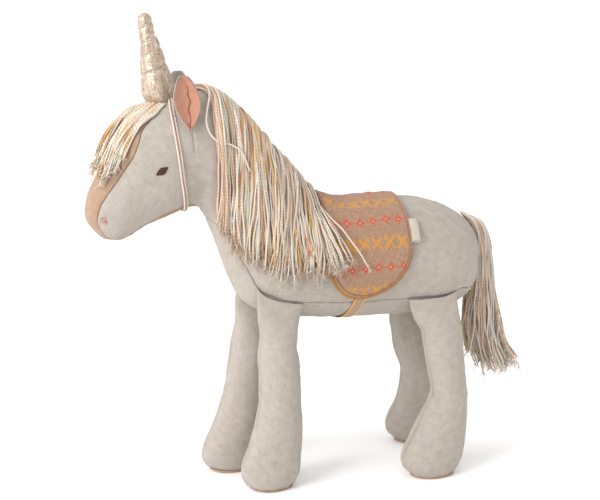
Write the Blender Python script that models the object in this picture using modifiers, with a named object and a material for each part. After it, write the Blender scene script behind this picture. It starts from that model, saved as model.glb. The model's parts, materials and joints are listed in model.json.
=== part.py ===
"""Plush unicorn: a linen skin over fibre stuffing, with yarn mane, forelock and tail, a stuffed
horn, a braided bridle and a knitted saddle blanket on a girth strap.

The animal faces -Y and its left side is +X. The origin is on the floor, below the middle of its
box, halfway between the left and the right feet."""

import math

import bmesh
import bpy
import numpy as np
from mathutils import Matrix, Vector
from mathutils.bvhtree import BVHTree

MM = 0.001
DEG = math.pi / 180

# Overall sizes
HIP_HEIGHT = 168 * MM  # floor to the seams that the legs hang from
HIP_SPACING = 144 * MM  # front legs to rear legs
FRONT_HIP_Y = -42 * MM
HEAD_HALF_WIDTH = 30 * MM
NECK_HALF_WIDTH = 33 * MM
BARREL_HALF_WIDTH = 48 * MM

# Cloth
LINEN = 1.0 * MM
SEAM_GAP = 0.6 * MM  # between two panels at a seam
STUFFING_INSET = 3.0 * MM  # from the outside of the linen to the stuffing
RESTING_LIFT = 0.9 * MM  # from the linen to what lies on it

# Legs
LEG_HALF_WIDTH = 19.5 * MM  # across the animal
FRONT_HIP_LENGTH = 42 * MM  # sewn length of the leg's flat top
REAR_HIP_LENGTH = 48 * MM
FRONT_FOOT_X = 28.7 * MM
REAR_FOOT_X = 46.3 * MM
RIGHT_FRONT_STEP = -22 * MM  # how far the right foot stands behind the left
RIGHT_REAR_STEP = 22 * MM
KNEE_SHARE, KNEE_BEND = 0.38, 0.06  # height of that leg's bend, and how soft it is
HINGE_GAP = 3.0 * MM  # from the seam to the middle of the leg's flat top, square to the cloth
FLAT_TOP = 3.2 * MM  # half the thickness of the leg's flat sewn top
LEG_FILL_TOP = 0.86  # share of the leg's height that is stuffed
SOLE_THICKNESS = 1.5 * MM
SOLE_GAP = 0.5 * MM

# Horn
HORN_HEIGHT = 77 * MM
HORN_BASE_RADIUS = 14.5 * MM
HORN_LEAN = 9.3 * DEG  # forwards
HORN_FOOT = (-139 * MM, 182 * MM)  # y and height above the hips
HORN_SUNK = 12 * MM  # length below its foot, cut off at the head
HORN_INSET = 2 * MM  # from the horn's outside to its stuffing

# Ears
EAR_LENGTH = 46 * MM
EAR_HALF_WIDTH = 12 * MM
EAR_FOLD = 5 * MM
EAR_LEAN = 10 * MM  # how far the tip leans in over the head
EAR_LINEN = 0.8 * MM
EAR_RIM = 1.2 * MM  # linen that shows round the lining
EAR_FOOT = (-118 * MM, 161 * MM)  # y and height above the hips
RIGHT_EAR_BACK = 6 * MM

# Face
EYE_LENGTH = 10.6 * MM
EYE_HEIGHT = 5 * MM
EYE_PLACE = (-144 * MM, 127 * MM)
EYE_TILT = 26 * DEG
NOSTRIL_RADIUS = 1.9 * MM
NOSTRIL_PLACE = (-194 * MM, 87 * MM)

# Bridle
BRIDLE_STATION = 7.35
BRIDLE_WIDTH = 4.4 * MM
BRIDLE_THICKNESS = 1.8 * MM
BRIDLE_TOP = 31 * DEG

# Yarn
YARN_THICKNESS = 7 * MM
MANE_STATIONS = (8.9, 12.6)
MANE_OVER = -8 * DEG  # how far it passes over the crest
MANE_END_STATIONS = (9.3, 11.2, 13.2, 13.9)
MANE_END_ANGLES = (104, 112, 108, 92)  # degrees
MANE_BEND_STATION = 10.1  # where the crest stands highest over the mane's root
FORELOCK_STATIONS = (3.9, 6.3)
FORELOCK_SPREAD = 27 * DEG
TAIL_ROOT = (8.5 * MM, 68 * MM)  # before the end of the rump and above the hips
# The tail's middle line and radius: y and z from its root, then the radius.
TAIL_ROWS = [
    (0, 0, 4),
    (9, -10, 5),
    (15.5, -24, 6.5),
    (17.5, -37, 7.5),
    (18.5, -50, 8.2),
    (19.5, -66, 11),
    (20.5, -80, 15),
    (22, -101, 18.5),
    (24.5, -117, 20),
    (28.5, -132, 20.5),
    (33.2, -143, 20),
    (34, -151, 18.5),
]

# Saddle blanket
BLANKET_MIDDLE = 79 * MM  # behind the front hips
BLANKET_HALF_LENGTH = 39 * MM
BLANKET_SKEW = 6 * MM  # the flaps' lowest point lies ahead of their middle
BLANKET_ROUNDS = (36 * MM, 50 * MM)  # height of a flap's rounding, ahead of that point and behind it
BLANKET_DROP = 113 * MM  # from the ridge to the lowest point of a flap, along the cloth
LINING_THICKNESS = 0.8 * MM
KNIT_THICKNESS = 1.4 * MM
LAYER_GAP = 0.5 * MM
GIRTH_WIDTH = 10 * MM
GIRTH_THICKNESS = 0.8 * MM
GIRTH_MIDDLE = 71 * MM  # behind the front hips
GIRTH_TUCK = 7 * MM  # how far its ends reach under the flaps
TAG_LENGTH = 21 * MM
TAG_WIDTH = 8 * MM
TAG_THICKNESS = 0.8 * MM
TAG_DROP = 44 * MM  # from the ridge to the tag's upper end, along the cloth

# The outline is drawn for hips this far apart. For others it is stretched from this far behind
# the front hips, which is where the saddle blanket starts.
DRAWN_HIP_SPACING = 144 * MM
STRETCH_FROM = 40 * MM
# Under and upper outline (y from the front hips, z from the hips), and half width as a share,
# from the muzzle to the rump.
HEAD_ROWS = [
    (-164.5, 89, -164.5, 89, 0.0),
    (-163, 81, -164, 96, 0.28),
    (-158, 73.5, -162, 104, 0.48),
    (-149, 65.5, -158, 114, 0.64),
    (-134, 65.5, -150, 130, 0.78),
    (-112, 77, -136, 153, 0.90),
    (-91, 84.5, -118, 173, 0.98),
    (-76, 89, -98, 186, 1.0),
    (-67, 89, -76, 192, 1.0),
]
NECK_ROWS = [
    (-61, 82, -55, 190, 0.93),
    (-57, 73, -34, 175, 0.92),
    (-51, 58, -12, 150, 0.95),
    (-44, 38, 12, 123, 1.05),
    (-36, 20, 36, 97, 1.2),
]
BARREL_ROWS = [
    (-26, 1, 62, 87, 0.89),
    (-3, -11, 84, 87, 0.95),
    (27, -17, 104, 87.5, 1.0),
    (62, -20, 124, 87.5, 1.0),
    (97, -21.5, 142, 86, 0.99),
    (127, -22.5, 160, 81, 0.97),
    (150, -22, 176, 73.5, 0.91),
    (170, -19, 189, 64, 0.79),
    (185, -13, 198, 51, 0.60),
    (195, -3, 202.5, 36, 0.35),
    (203.5, 18, 203.5, 18, 0.0),
]
RUMP = 24  # the last station
# Angle of the under seam, up from the belly's middle line, at these stations.
UNDER_SEAM_STATIONS = (9.3, 10, 11, 12, 14, 15, 16, 18, 20, 21, 22, 23, 23.5)
UNDER_SEAM_ANGLES = (3, 25, 38, 42, 42, 46, 50, 52, 57, 64, 60, 40, 5)
# Half angle of the head gusset over the nose and under the jaw, at these stations.
GUSSET_STATIONS = (2.2, 2.6, 3.0, 3.6, 4.5, 5.2, 5.6, 5.8, 6.4, 7.1, 8.3)
GUSSET_OVER = (94, 77, 67, 62, 60, 57, 48, 39, 31, 23, 4)
GUSSET_UNDER = (62, 44, 31, 23, 20, 24, 25, 25, 25, 24, 4)
# The rows that two panels share along a seam, so that their edges stay parallel.
NOSE_TIP_STATION = GUSSET_STATIONS[0]
HEAD_SEAM_ROWS = np.concatenate([[NOSE_TIP_STATION, 2.6], np.linspace(3, GUSSET_STATIONS[-1], 11)])
UNDER_SEAM_ROWS = np.concatenate([np.linspace(9.3, 21.9, 18), [22.5, 23, 23.5]])

# Leg outlines from the top down: height as a share of the leg, front and back edge (y from the
# hip's middle), and half width as a share. The first row is the flat sewn top, whose length and
# thickness are named above.
FRONT_LEG_ROWS = [
    (1.0, -21, 21, 0.16),
    (0.95, -21, 18, 0.32),
    (0.89, -20.5, 15.5, 0.62),
    (0.815, -18.5, 15, 0.83),
    (0.74, -19.5, 16.5, 0.94),
    (0.60, -19.7, 18, 0.98),
    (0.49, -20, 19, 0.98),
    (0.36, -24, 20, 1.0),
    (0.27, -28, 20, 1.03),
    (0.17, -34.5, 19.5, 1.05),
    (0.09, -36.5, 18, 1.03),
    (0.036, -33.5, 14.5, 0.93),
    (0.012, -28, 11, 0.80),
]
REAR_LEG_ROWS = [
    (1.0, -24, 24, 0.16),
    (0.94, -21.5, 25, 0.32),
    (0.88, -17, 26, 0.62),
    (0.82, -12, 27.3, 0.83),
    (0.74, -8.5, 28.5, 0.94),
    (0.60, -5, 30.3, 0.98),
    (0.47, -1, 32, 1.0),
    (0.40, -5, 33, 1.0),
    (0.315, -14, 33, 1.03),
    (0.21, -23.5, 31.5, 1.05),
    (0.12, -31, 29, 1.05),
    (0.06, -30, 26, 0.97),
    (0.012, -22, 20, 0.80),
]


def spline(rows, place):
    """Rows of a table read at fractional places, on a smooth curve through every row."""
    place = np.clip(place, 0, len(rows) - 1)
    low = np.minimum(place.astype(int), len(rows) - 2)
    f = (place - low)[..., None]
    ends = np.concatenate([2 * rows[:1] - rows[1:2], rows, 2 * rows[-1:] - rows[-2:-1]])
    a, b, c, d = (ends[low + k] for k in range(4))
    return b + 0.5 * f * (c - a + f * (2 * a - 5 * b + 4 * c - d + f * (3 * (b - c) + d - a)))


def body_rows():
    """The outline's rows in metres: under point (y, z), upper point (y, z) and half width."""
    rows = np.array(HEAD_ROWS + NECK_ROWS + BARREL_ROWS, float)
    widths = [HEAD_HALF_WIDTH] * len(HEAD_ROWS) + [NECK_HALF_WIDTH] * len(NECK_ROWS)
    widths += [BARREL_HALF_WIDTH] * len(BARREL_ROWS)
    rows[:, :4] *= MM
    rows[:, 4] *= widths
    stretch = (HIP_SPACING - STRETCH_FROM) / (DRAWN_HIP_SPACING - STRETCH_FROM)
    for column in (0, 2):
        y = rows[:, column]
        rows[:, column] = FRONT_HIP_Y + y + (stretch - 1) * np.maximum(y - STRETCH_FROM, 0)
    rows[:, (1, 3)] += HIP_HEIGHT
    return rows


BODY = body_rows()


def coat(station, angle):
    """A point on the animal's outside. Each station is an ellipse between its under and its upper
    point; the angle runs from the crest (0) round the left side to the belly (pi)."""
    station, angle = np.broadcast_arrays(np.asarray(station, float), np.asarray(angle, float))
    row = spline(BODY, station)
    up = (1 + np.cos(angle)) / 2
    y = row[..., 0] + (row[..., 2] - row[..., 0]) * up
    z = row[..., 1] + (row[..., 3] - row[..., 1]) * up
    return np.stack([row[..., 4] * np.sin(angle), y, z], -1)


def lifted(shape, along, around, lift):
    """Points of a shape moved off its surface, along its outward normal."""
    step = 1e-3
    along, around = np.broadcast_arrays(np.asarray(along, float), np.asarray(around, float))
    points = shape(along, around)
    d_along = shape(along + step, around) - shape(along - step, around)
    d_around = shape(along, around + step) - shape(along, around - step)
    normal = np.cross(d_around, d_along)
    normal /= np.maximum(np.linalg.norm(normal, axis=-1, keepdims=True), 1e-12)
    middle = (shape(along, around * 0) + shape(along, around * 0 + math.pi)) / 2
    outward = np.sign((normal * (points - middle)).sum(-1, keepdims=True))
    return points + normal * outward * lift


def seam_gap(shape, along, around):
    """The angle that half of a seam's gap takes up there."""
    step = 1e-3
    across = shape(along, around + step) - shape(along, around - step)
    return SEAM_GAP / 2 / (np.linalg.norm(across, axis=-1) / (2 * step))


def coat_place(y, z):
    """Station and angle of the left side's point with this y and z."""
    station, angle = np.meshgrid(np.linspace(0.5, 23, 451), np.linspace(0.02, 3.1, 309))
    points = coat(station, angle)
    best = np.argmin((points[..., 1] - y) ** 2 + (points[..., 2] - z) ** 2)
    return station.flat[best], angle.flat[best]


def coat_frame(station, angle, lift):
    """A place on the coat and its outward normal, as vectors."""
    low = lifted(coat, station, angle, 0.0)
    high = lifted(coat, station, angle, MM)
    place = lifted(coat, station, angle, lift)
    return Vector(place), Vector(high - low).normalized()


def material(name, colour, roughness=0.9, metallic=0.0):
    made = bpy.data.materials.new(name)
    made.use_nodes = True
    shader = made.node_tree.nodes["Principled BSDF"]
    shader.inputs["Base Color"].default_value = (*colour, 1)
    shader.inputs["Roughness"].default_value = roughness
    shader.inputs["Metallic"].default_value = metallic
    return made


def add_object(name, data, finish, collection=None):
    obj = bpy.data.objects.new(name, data)
    (collection or unicorn).objects.link(obj)
    obj.data.materials.append(finish)
    return obj


def mesh_object(name, points, faces, finish, collection=None):
    mesh = bpy.data.meshes.new(name)
    mesh.from_pydata([tuple(p) for p in np.reshape(points, (-1, 3))], [], faces)
    mesh.shade_smooth()
    return add_object(name, mesh, finish, collection)


def grid_faces(rows, columns, closed=False):
    faces = []
    for i in range(rows - 1):
        for j in range(columns if closed else columns - 1):
            k = (j + 1) % columns
            faces.append((i * columns + j, i * columns + k, (i + 1) * columns + k, (i + 1) * columns + j))
    return faces


def solidify(obj, thickness, offset=-1.0):
    wall = obj.modifiers.new("wall", "SOLIDIFY")
    wall.thickness = thickness
    wall.offset = offset
    wall.use_even_offset = False
    return obj


def cloth(name, points, outside, thickness, finish, offset=-1.0):
    """An open grid of points given a wall. outside holds the same grid a little further out, and
    tells which way the faces look."""
    rows, columns = points.shape[:2]
    i, j = rows // 2, columns // 2
    across = points[i, j] - points[i, j - 1]
    along = points[i, j] - points[i - 1, j]
    faces = grid_faces(rows, columns)
    if np.dot(np.cross(across, along), outside[i, j] - points[i, j]) < 0:
        faces = [face[::-1] for face in faces]
    return solidify(mesh_object(name, points, faces, finish), thickness, offset)


def closed_loft(name, points, finish, collection=None):
    """A closed solid through rings of points, its ends closed by one point each."""
    rows, columns = points.shape[:2]
    faces = grid_faces(rows, columns, closed=True)
    ends = [points[0].mean(0), points[-1].mean(0)]
    count = rows * columns
    for j in range(columns):
        k = (j + 1) % columns
        faces.append((count, k, j))
        faces.append((count + 1, (rows - 1) * columns + j, (rows - 1) * columns + k))
    points = np.concatenate([points.reshape(-1, 3), ends])
    obj = mesh_object(name, points, faces, finish, collection)
    outward(obj)
    return obj


def outward(obj):
    """Turns a closed mesh's faces outwards."""
    work = bmesh.new()
    work.from_mesh(obj.data)
    bmesh.ops.recalc_face_normals(work, faces=work.faces)
    if work.calc_volume(signed=True) < 0:
        bmesh.ops.reverse_faces(work, faces=work.faces)
    work.to_mesh(obj.data)
    work.free()


def cut(obj, cutter):
    made = obj.modifiers.new("cut", "BOOLEAN")
    made.object = cutter
    made.operation = "DIFFERENCE"
    made.solver = "EXACT"


for old in list(bpy.data.objects):
    bpy.data.objects.remove(old)
unicorn = bpy.data.collections.new("plush_unicorn")
cutters = bpy.data.collections.new("cutters")
for made in (unicorn, cutters):
    bpy.context.scene.collection.children.link(made)

linen = material("linen", (0.72, 0.66, 0.59))
peach_linen = material("peach_linen", (0.80, 0.52, 0.34))
pink_cotton = material("pink_cotton", (0.75, 0.42, 0.36))
fibre = material("fibre_stuffing", (0.92, 0.92, 0.90))
gold_cloth = material("gold_cloth", (0.62, 0.49, 0.36), 0.35, 0.8)
yarn = material("cotton_yarn", (0.85, 0.76, 0.64))
brown_thread = material("brown_thread", (0.06, 0.025, 0.018), 0.6)
knot_thread = material("pink_thread", (0.80, 0.45, 0.36), 0.7)
braid = material("braid", (0.80, 0.74, 0.68), 0.6)
knit = material("knit", (0.66, 0.45, 0.31))
lining = material("mustard_lining", (0.62, 0.36, 0.09))
ribbon = material("ribbon", (0.60, 0.42, 0.22))
tag_cloth = material("tag_cloth", (0.82, 0.76, 0.64))


def under_seam(station):
    """Angle of the under seam on the left side, from the crest."""
    return math.pi - DEG * np.interp(station, UNDER_SEAM_STATIONS, UNDER_SEAM_ANGLES)


def over_edge(station):
    return DEG * np.interp(station, GUSSET_STATIONS, GUSSET_OVER)


def under_edge(station):
    return math.pi - DEG * np.interp(station, GUSSET_STATIONS, GUSSET_UNDER)


def hinge(name, place, pieces):
    """An empty on a joint's axis. The pieces that turn about it are parented to it."""
    empty = bpy.data.objects.new(f"{name}_hinge", None)
    empty.location = place
    unicorn.objects.link(empty)
    for piece in pieces:
        piece.parent = empty
        piece.matrix_parent_inverse = Matrix.Translation(-Vector(place))


def seam_shares(count):
    """Shares from 0 to 1 that lie closer together at both ends, where a panel meets its seam."""
    even = np.linspace(0, 1, count)
    return (even + (1 - np.cos(math.pi * even)) / 2) / 2


def make_body():
    around = np.linspace(0, 2 * math.pi, 18, endpoint=False)
    stations = np.concatenate([[0.35, 0.8], np.linspace(1.5, 22.5, 28), [23.2, 23.65]])
    points = lifted(coat, stations[:, None], around, -STUFFING_INSET)
    closed_loft("body_stuffing", points, fibre)

    # The same form, a little outside the linen, cuts the pieces that sit on it.
    stations = np.concatenate([[0.1, 0.5], np.linspace(1, 23, 34), [23.5, 23.9]])
    around = np.linspace(0, 2 * math.pi, 32, endpoint=False)
    points = lifted(coat, stations[:, None], around, RESTING_LIFT)
    cutter = closed_loft("body_cutter", points, fibre, cutters)
    cutter.hide_render = True
    cutter.display_type = "WIRE"
    return cutter


def make_side_panels():
    """Head, neck, barrel and rump are one panel on each side. It lies between the head gusset or
    the crest seam above, and the head gusset, the throat or the under gusset below."""
    stations = np.concatenate([HEAD_SEAM_ROWS, UNDER_SEAM_ROWS, [RUMP - 0.12]])
    on_head = stations < UNDER_SEAM_STATIONS[0]
    top = np.where(on_head, over_edge(stations), 0)
    bottom = np.where(on_head, under_edge(stations), under_seam(stations))
    top = top + seam_gap(coat, stations, top)
    bottom = bottom - seam_gap(coat, stations, bottom)
    angles = top[:, None] + (bottom - top)[:, None] * seam_shares(10)
    stations = np.broadcast_to(stations[:, None], angles.shape)
    for side, name in ((1, "left"), (-1, "right")):
        points = lifted(coat, stations, side * angles, 0)
        outside = lifted(coat, stations, side * angles, MM)
        cloth(f"side_panel_{name}", points, outside, LINEN, linen)


def make_under_gusset():
    stations = UNDER_SEAM_ROWS[1:-1]
    edge = under_seam(stations)
    edge = edge + seam_gap(coat, stations, edge)
    angles = math.pi + (math.pi - edge)[:, None] * (2 * seam_shares(8) - 1)
    points = lifted(coat, stations[:, None], angles, 0)
    outside = lifted(coat, stations[:, None], angles, MM)
    cloth("under_gusset", points, outside, LINEN, linen)


def make_head_gusset():
    """One strip from the poll over the forehead and the nose, round the muzzle and back under the
    jaw to the throat. Across the muzzle its rows run straight over the end disc."""
    share = 2 * seam_shares(7) - 1
    lower = HEAD_SEAM_ROWS[:-1]
    upper = lower[::-1]
    edge = over_edge(upper) - seam_gap(coat, upper, over_edge(upper))
    stations = [np.broadcast_to(upper[:, None], (len(upper), len(share)))]
    angles = [edge[:, None] * share]
    low_edge = under_edge(lower) + seam_gap(coat, lower, under_edge(lower))
    down = math.pi + (math.pi - low_edge)[:, None] * -share
    first, second = angles[0][-1], down[0]
    for f in np.linspace(0, 1, 7)[1:-1]:
        p = np.sin(first) * (1 - f) + np.sin(second) * f
        q = np.cos(first) * (1 - f) + np.cos(second) * f
        stations.append(np.maximum(np.hypot(p, q) * NOSE_TIP_STATION, 0.02)[None])
        angles.append(np.arctan2(p, q)[None])
    stations.append(np.broadcast_to(lower[:, None], down.shape))
    angles.append(down)
    stations, angles = np.concatenate(stations), np.concatenate(angles)
    points = lifted(coat, stations, angles, 0)
    outside = lifted(coat, stations, angles, MM)
    cloth("head_gusset", points, outside, LINEN, peach_linen)


def hip_line(y, side):
    """x and z just outside the under seam at this y, where a leg's top is sewn in."""
    stations = np.linspace(12, 23, 221)
    seam = lifted(coat, stations, under_seam(stations), HINGE_GAP)
    return side * np.interp(y, seam[:, 1], seam[:, 0]), np.interp(y, seam[:, 1], seam[:, 2])


def leg_shape(rows, hip_y, hip_length, foot_x, step, side):
    """A leg's outside as a function of its row, from the top, and of the angle, from the front
    seam round the outer side to the back seam."""
    table = np.array(rows, float)
    table[:, 1:3] *= MM
    table[0, 1:3] = -hip_length / 2, hip_length / 2
    table[:, 3] *= LEG_HALF_WIDTH
    table[0, 3] = FLAT_TOP

    def shape(row, angle):
        row, angle = np.broadcast_arrays(np.asarray(row, float), np.asarray(angle, float))
        share, front, back, half = np.moveaxis(spline(table, row), -1, 0)
        y = hip_y + (front + back) / 2 - (back - front) / 2 * np.cos(angle)
        seam_x, seam_z = hip_line(y, side)
        near_top = np.clip(share, 0, 1) ** 6
        middle_x, _ = hip_line(np.full_like(y, hip_y), side)
        x = side * foot_x + (middle_x - side * foot_x) * share + near_top * (seam_x - middle_x)
        z = HIP_HEIGHT * share + near_top * (seam_z - HIP_HEIGHT)
        x = x + side * half * np.sin(angle)
        if step > 0:  # a foot set back bends at the knee, one set forwards swings from the hip
            y = y + step / (1 + np.exp((share - KNEE_SHARE) / KNEE_BEND))
        else:
            y = y + step * (1 - np.clip(share, 0, 1) ** 1.4)
        return np.stack([x, y, z], -1)

    return shape


def make_leg(name, rows, hip_y, hip_length, foot_x, step, side):
    shape = leg_shape(rows, hip_y, hip_length, foot_x, step, side)
    last = len(rows) - 1
    places = np.arange(last + 1.0)[:, None]
    shares = np.array([row[0] for row in rows])[:, None]
    half = np.abs(shape(places, math.pi / 2) - shape(places, 0))[..., 0]
    # Near its flat top the leg is hardly thicker than its two walls, so their edges stand apart.
    gap = np.arcsin((SEAM_GAP / 2 + 2.2 * LINEN * shares**8) / half)
    pieces = []
    for part, start in (("outer", 0), ("inner", math.pi)):
        angles = start + gap + (math.pi - 2 * gap) * seam_shares(8)
        points = lifted(shape, places, angles, 0)
        outside = lifted(shape, places, angles, MM)
        pieces.append(cloth(f"leg_{part}_{name}", points, outside, LINEN, linen))

    heights = np.interp(LEG_FILL_TOP, [r[0] for r in rows][::-1], range(last, -1, -1))
    places = np.linspace(heights, last - 0.02, 9)[:, None]
    around = np.linspace(0, 2 * math.pi, 12, endpoint=False)
    points = lifted(shape, places, around, -STUFFING_INSET)
    bottom = SOLE_THICKNESS + SOLE_GAP
    points[..., 2] = np.maximum(points[..., 2], bottom + LINEN)
    points[-1, :, 2] = bottom
    pieces.append(closed_loft(f"leg_stuffing_{name}", points, fibre))

    outline = shape(last, np.linspace(0, 2 * math.pi, 20, endpoint=False))
    sole = bpy.data.curves.new(f"sole_{name}", "CURVE")
    sole.dimensions = "2D"
    sole.fill_mode = "BOTH"
    sole.extrude = SOLE_THICKNESS / 2
    path = sole.splines.new("POLY")
    path.points.add(len(outline) - 1)
    for point, place in zip(path.points, outline):
        point.co = (place[0], place[1], 0, 1)
    path.use_cyclic_u = True
    pieces.append(add_object(f"sole_{name}", sole, peach_linen))
    pieces[-1].location.z = SOLE_THICKNESS / 2
    ends = hip_y + np.array([-1, 1]) * hip_length / 2
    hip_x, hip_z = hip_line(ends, side)
    hinge(f"leg_{name}", (hip_x.mean(), hip_y, hip_z.mean()), pieces)


def screw(name, profile, finish):
    """A turned shape from a profile of (radius, height) rows, top first."""
    mesh = bpy.data.meshes.new(name)
    points = [(radius, 0, height) for radius, height in profile]
    mesh.from_pydata(points, [(k, k + 1) for k in range(len(points) - 1)], [])
    obj = add_object(name, mesh, finish)
    turn = obj.modifiers.new("turn", "SCREW")
    turn.steps = turn.render_steps = 14
    turn.use_merge_vertices = True
    turn.merge_threshold = 0.0001
    turn.use_smooth_shade = True
    return obj


def horn_radius(share):
    """Radius of the horn at a share of its height: a taper that bulges between the windings."""
    taper = HORN_BASE_RADIUS * (1 - 0.66 * share**1.1)
    winding = 1 - 0.07 * np.cos(2 * math.pi * (share * 4.2 + 0.35))
    tip = np.sqrt(np.clip(1 - ((share - 0.93) / 0.07).clip(0) ** 2, 0, 1))
    foot = 1 - 0.22 * np.clip(1 - share / 0.12, 0, 1) ** 2
    return taper * winding * tip * foot


def make_horn(cutter):
    share = np.concatenate([[1.0, 0.985], np.linspace(0.95, 0, 14)])
    radius = horn_radius(share)
    radius[0] = 0
    profile = list(zip(radius, share * HORN_HEIGHT)) + [(radius[-1], -HORN_SUNK)]
    skin = screw("horn_skin", profile, gold_cloth)
    solidify(skin, LINEN)
    top = HORN_HEIGHT - STUFFING_INSET
    inner = [(0, top)]
    inner += [(r - HORN_INSET, h) for r, h in profile if h < top and r > HORN_INSET]
    fill = screw("horn_stuffing", inner + [(0, -HORN_SUNK)], fibre)
    for obj in (skin, fill):
        obj.location = (0, HORN_FOOT[0], HORN_FOOT[1] + HIP_HEIGHT)
        obj.rotation_euler.x = HORN_LEAN
        cut(obj, cutter)


def ear_surface(side, along, across, inset):
    """A leaf folded lengthwise, its hollow outwards. along runs from the foot to the tip."""
    foot_y = EAR_FOOT[0] + (RIGHT_EAR_BACK if side < 0 else 0)
    foot_z = EAR_FOOT[1] + HIP_HEIGHT
    station, angle = coat_place(foot_y, foot_z)
    foot = lifted(coat, station, angle, RESTING_LIFT + EAR_LINEN)
    half = EAR_HALF_WIDTH * np.sin(math.pi * (0.04 + 0.92 * along) ** 0.85) ** 0.75
    half = np.maximum(half - inset, MM)
    depth = EAR_FOLD * (1 - across**2) * np.sin(math.pi * (0.15 + 0.7 * along))
    x = foot[0] + EAR_FOLD - EAR_LEAN * along**1.6 - depth
    y = foot[1] - across * half - 3 * MM * along
    z = foot[2] + inset + along * (EAR_LENGTH - 2 * inset)
    return np.stack(np.broadcast_arrays(side * x, y, z), -1)


def make_ear(side, name, cutter):
    along = np.linspace(0, 1, 9)[:, None]
    across = np.linspace(-1, 1, 7)
    shift = np.array([side * MM, 0, 0])
    back = ear_surface(side, along, across, 0.0)
    front = ear_surface(side, along, across, EAR_RIM) + shift * (LAYER_GAP + EAR_LINEN) / MM
    pieces = [
        cloth(f"ear_outer_{name}", back, back + shift, EAR_LINEN, linen),
        cloth(f"ear_lining_{name}", front, front + shift, EAR_LINEN, pink_cotton),
    ]
    for piece in pieces:
        cut(piece, cutter)
    hinge(f"ear_{name}", back[0, len(across) // 2], pieces)


def make_face(side, name):
    station, angle = coat_place(EYE_PLACE[0], EYE_PLACE[1] + HIP_HEIGHT)
    place, normal = coat_frame(station, side * angle, EYE_HEIGHT * 0.16 + RESTING_LIFT)
    eye = ball(f"eye_{name}", place, (EYE_LENGTH / 2, EYE_HEIGHT / 2, EYE_HEIGHT * 0.16), brown_thread)
    forwards = Vector((0, -math.cos(EYE_TILT), -math.sin(EYE_TILT)))
    aim(eye, forwards, normal)
    station, angle = coat_place(NOSTRIL_PLACE[0], NOSTRIL_PLACE[1] + HIP_HEIGHT)
    place, normal = coat_frame(station, side * angle, NOSTRIL_RADIUS + RESTING_LIFT / 2)
    size = (NOSTRIL_RADIUS, NOSTRIL_RADIUS, NOSTRIL_RADIUS)
    ball(f"nostril_{name}", place, size, knot_thread)


def ball(name, place, radii, finish):
    mesh = bpy.data.meshes.new(name)
    work = bmesh.new()
    bmesh.ops.create_uvsphere(work, u_segments=10, v_segments=6, radius=1)
    bmesh.ops.scale(work, vec=radii, verts=work.verts)
    work.to_mesh(mesh)
    work.free()
    mesh.shade_smooth()
    obj = add_object(name, mesh, finish)
    obj.location = place
    return obj


def aim(obj, long_way, normal):
    """Turns an object so that its X looks the long way and its Z along the normal."""
    across = normal.cross(long_way).normalized()
    long_way = across.cross(normal)
    turn = bpy.context.scene.cursor.matrix.to_3x3()
    turn.col[0], turn.col[1], turn.col[2] = long_way, across, normal
    obj.rotation_euler = turn.to_euler()


def make_bridle():
    """A flat braid from one side of the horn's foot down the cheek, under the jaw and back up."""
    angles = np.linspace(BRIDLE_TOP, 2 * math.pi - BRIDLE_TOP, 44)
    step = 0.1
    apart = coat(BRIDLE_STATION + step, angles) - coat(BRIDLE_STATION - step, angles)
    station_length = np.linalg.norm(apart, axis=-1) / (2 * step)
    half = BRIDLE_WIDTH / 2 / np.maximum(station_length, BRIDLE_WIDTH)
    stations = BRIDLE_STATION + half[:, None] * np.array([-1, 0, 1])
    points = lifted(coat, stations, angles[:, None], RESTING_LIFT)
    outside = lifted(coat, stations, angles[:, None], RESTING_LIFT + MM)
    cloth("bridle_braid", points, outside, BRIDLE_THICKNESS, braid, offset=1.0)


def yarn_pad(name, stations, angles):
    points = lifted(coat, stations, angles, 2 * RESTING_LIFT)
    outside = lifted(coat, stations, angles, 3 * RESTING_LIFT)
    return cloth(name, points, outside, YARN_THICKNESS, yarn, offset=1.0)


def make_mane():
    """All of the mane falls on the left side. It hangs plumb from the sloping crest, so its lower
    end lies further back along the neck than its root."""
    roots = np.linspace(*MANE_STATIONS, 12)
    down = np.linspace(0, 1, 9)
    ends = np.interp(roots, MANE_STATIONS[:1] + (10, 11.5) + MANE_STATIONS[1:], MANE_END_STATIONS)
    angles = np.interp(roots, MANE_STATIONS[:1] + (10, 11.5) + MANE_STATIONS[1:], MANE_END_ANGLES)
    stations = roots[:, None] + (ends - roots)[:, None] * down
    angles = MANE_OVER + (angles[:, None] * DEG - MANE_OVER) * down
    mane = yarn_pad("mane_yarn", stations, angles)
    crest = lifted(coat, MANE_BEND_STATION, MANE_OVER, 2 * RESTING_LIFT)
    hinge("mane", crest, [mane])


def make_forelock():
    stations = np.linspace(*FORELOCK_STATIONS, 8)[:, None]
    spread = np.interp(stations, FORELOCK_STATIONS, (1.15, 0.75))
    lock = yarn_pad("forelock_yarn", stations, FORELOCK_SPREAD * spread * np.linspace(-1, 1, 6))
    root = lifted(coat, FORELOCK_STATIONS[1], 0, 2 * RESTING_LIFT + YARN_THICKNESS)
    hinge("forelock", root, [lock])


def make_tail():
    """A lock that leaves the rump seam backwards and hangs down clear of it."""
    root_y, root_z = BODY[RUMP, 0] - TAIL_ROOT[0], HIP_HEIGHT + TAIL_ROOT[1]
    rows = spline(np.array(TAIL_ROWS, float) * MM, np.linspace(0, len(TAIL_ROWS) - 1, 16))
    y, z, radius = root_y + rows[:, 0], root_z + rows[:, 1], rows[:, 2]
    data = bpy.data.curves.new("tail_yarn", "CURVE")
    data.dimensions = "3D"
    data.bevel_depth = 1
    data.bevel_resolution = 4
    data.use_fill_caps = True
    path = data.splines.new("POLY")
    path.points.add(len(rows) - 1)
    for point, py, pz, r in zip(path.points, y, z, radius):
        point.co = (0, py, pz, 1)
        point.radius = r
    hinge("tail", (0, root_y, root_z), [add_object("tail_yarn", data, yarn)])


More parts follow.
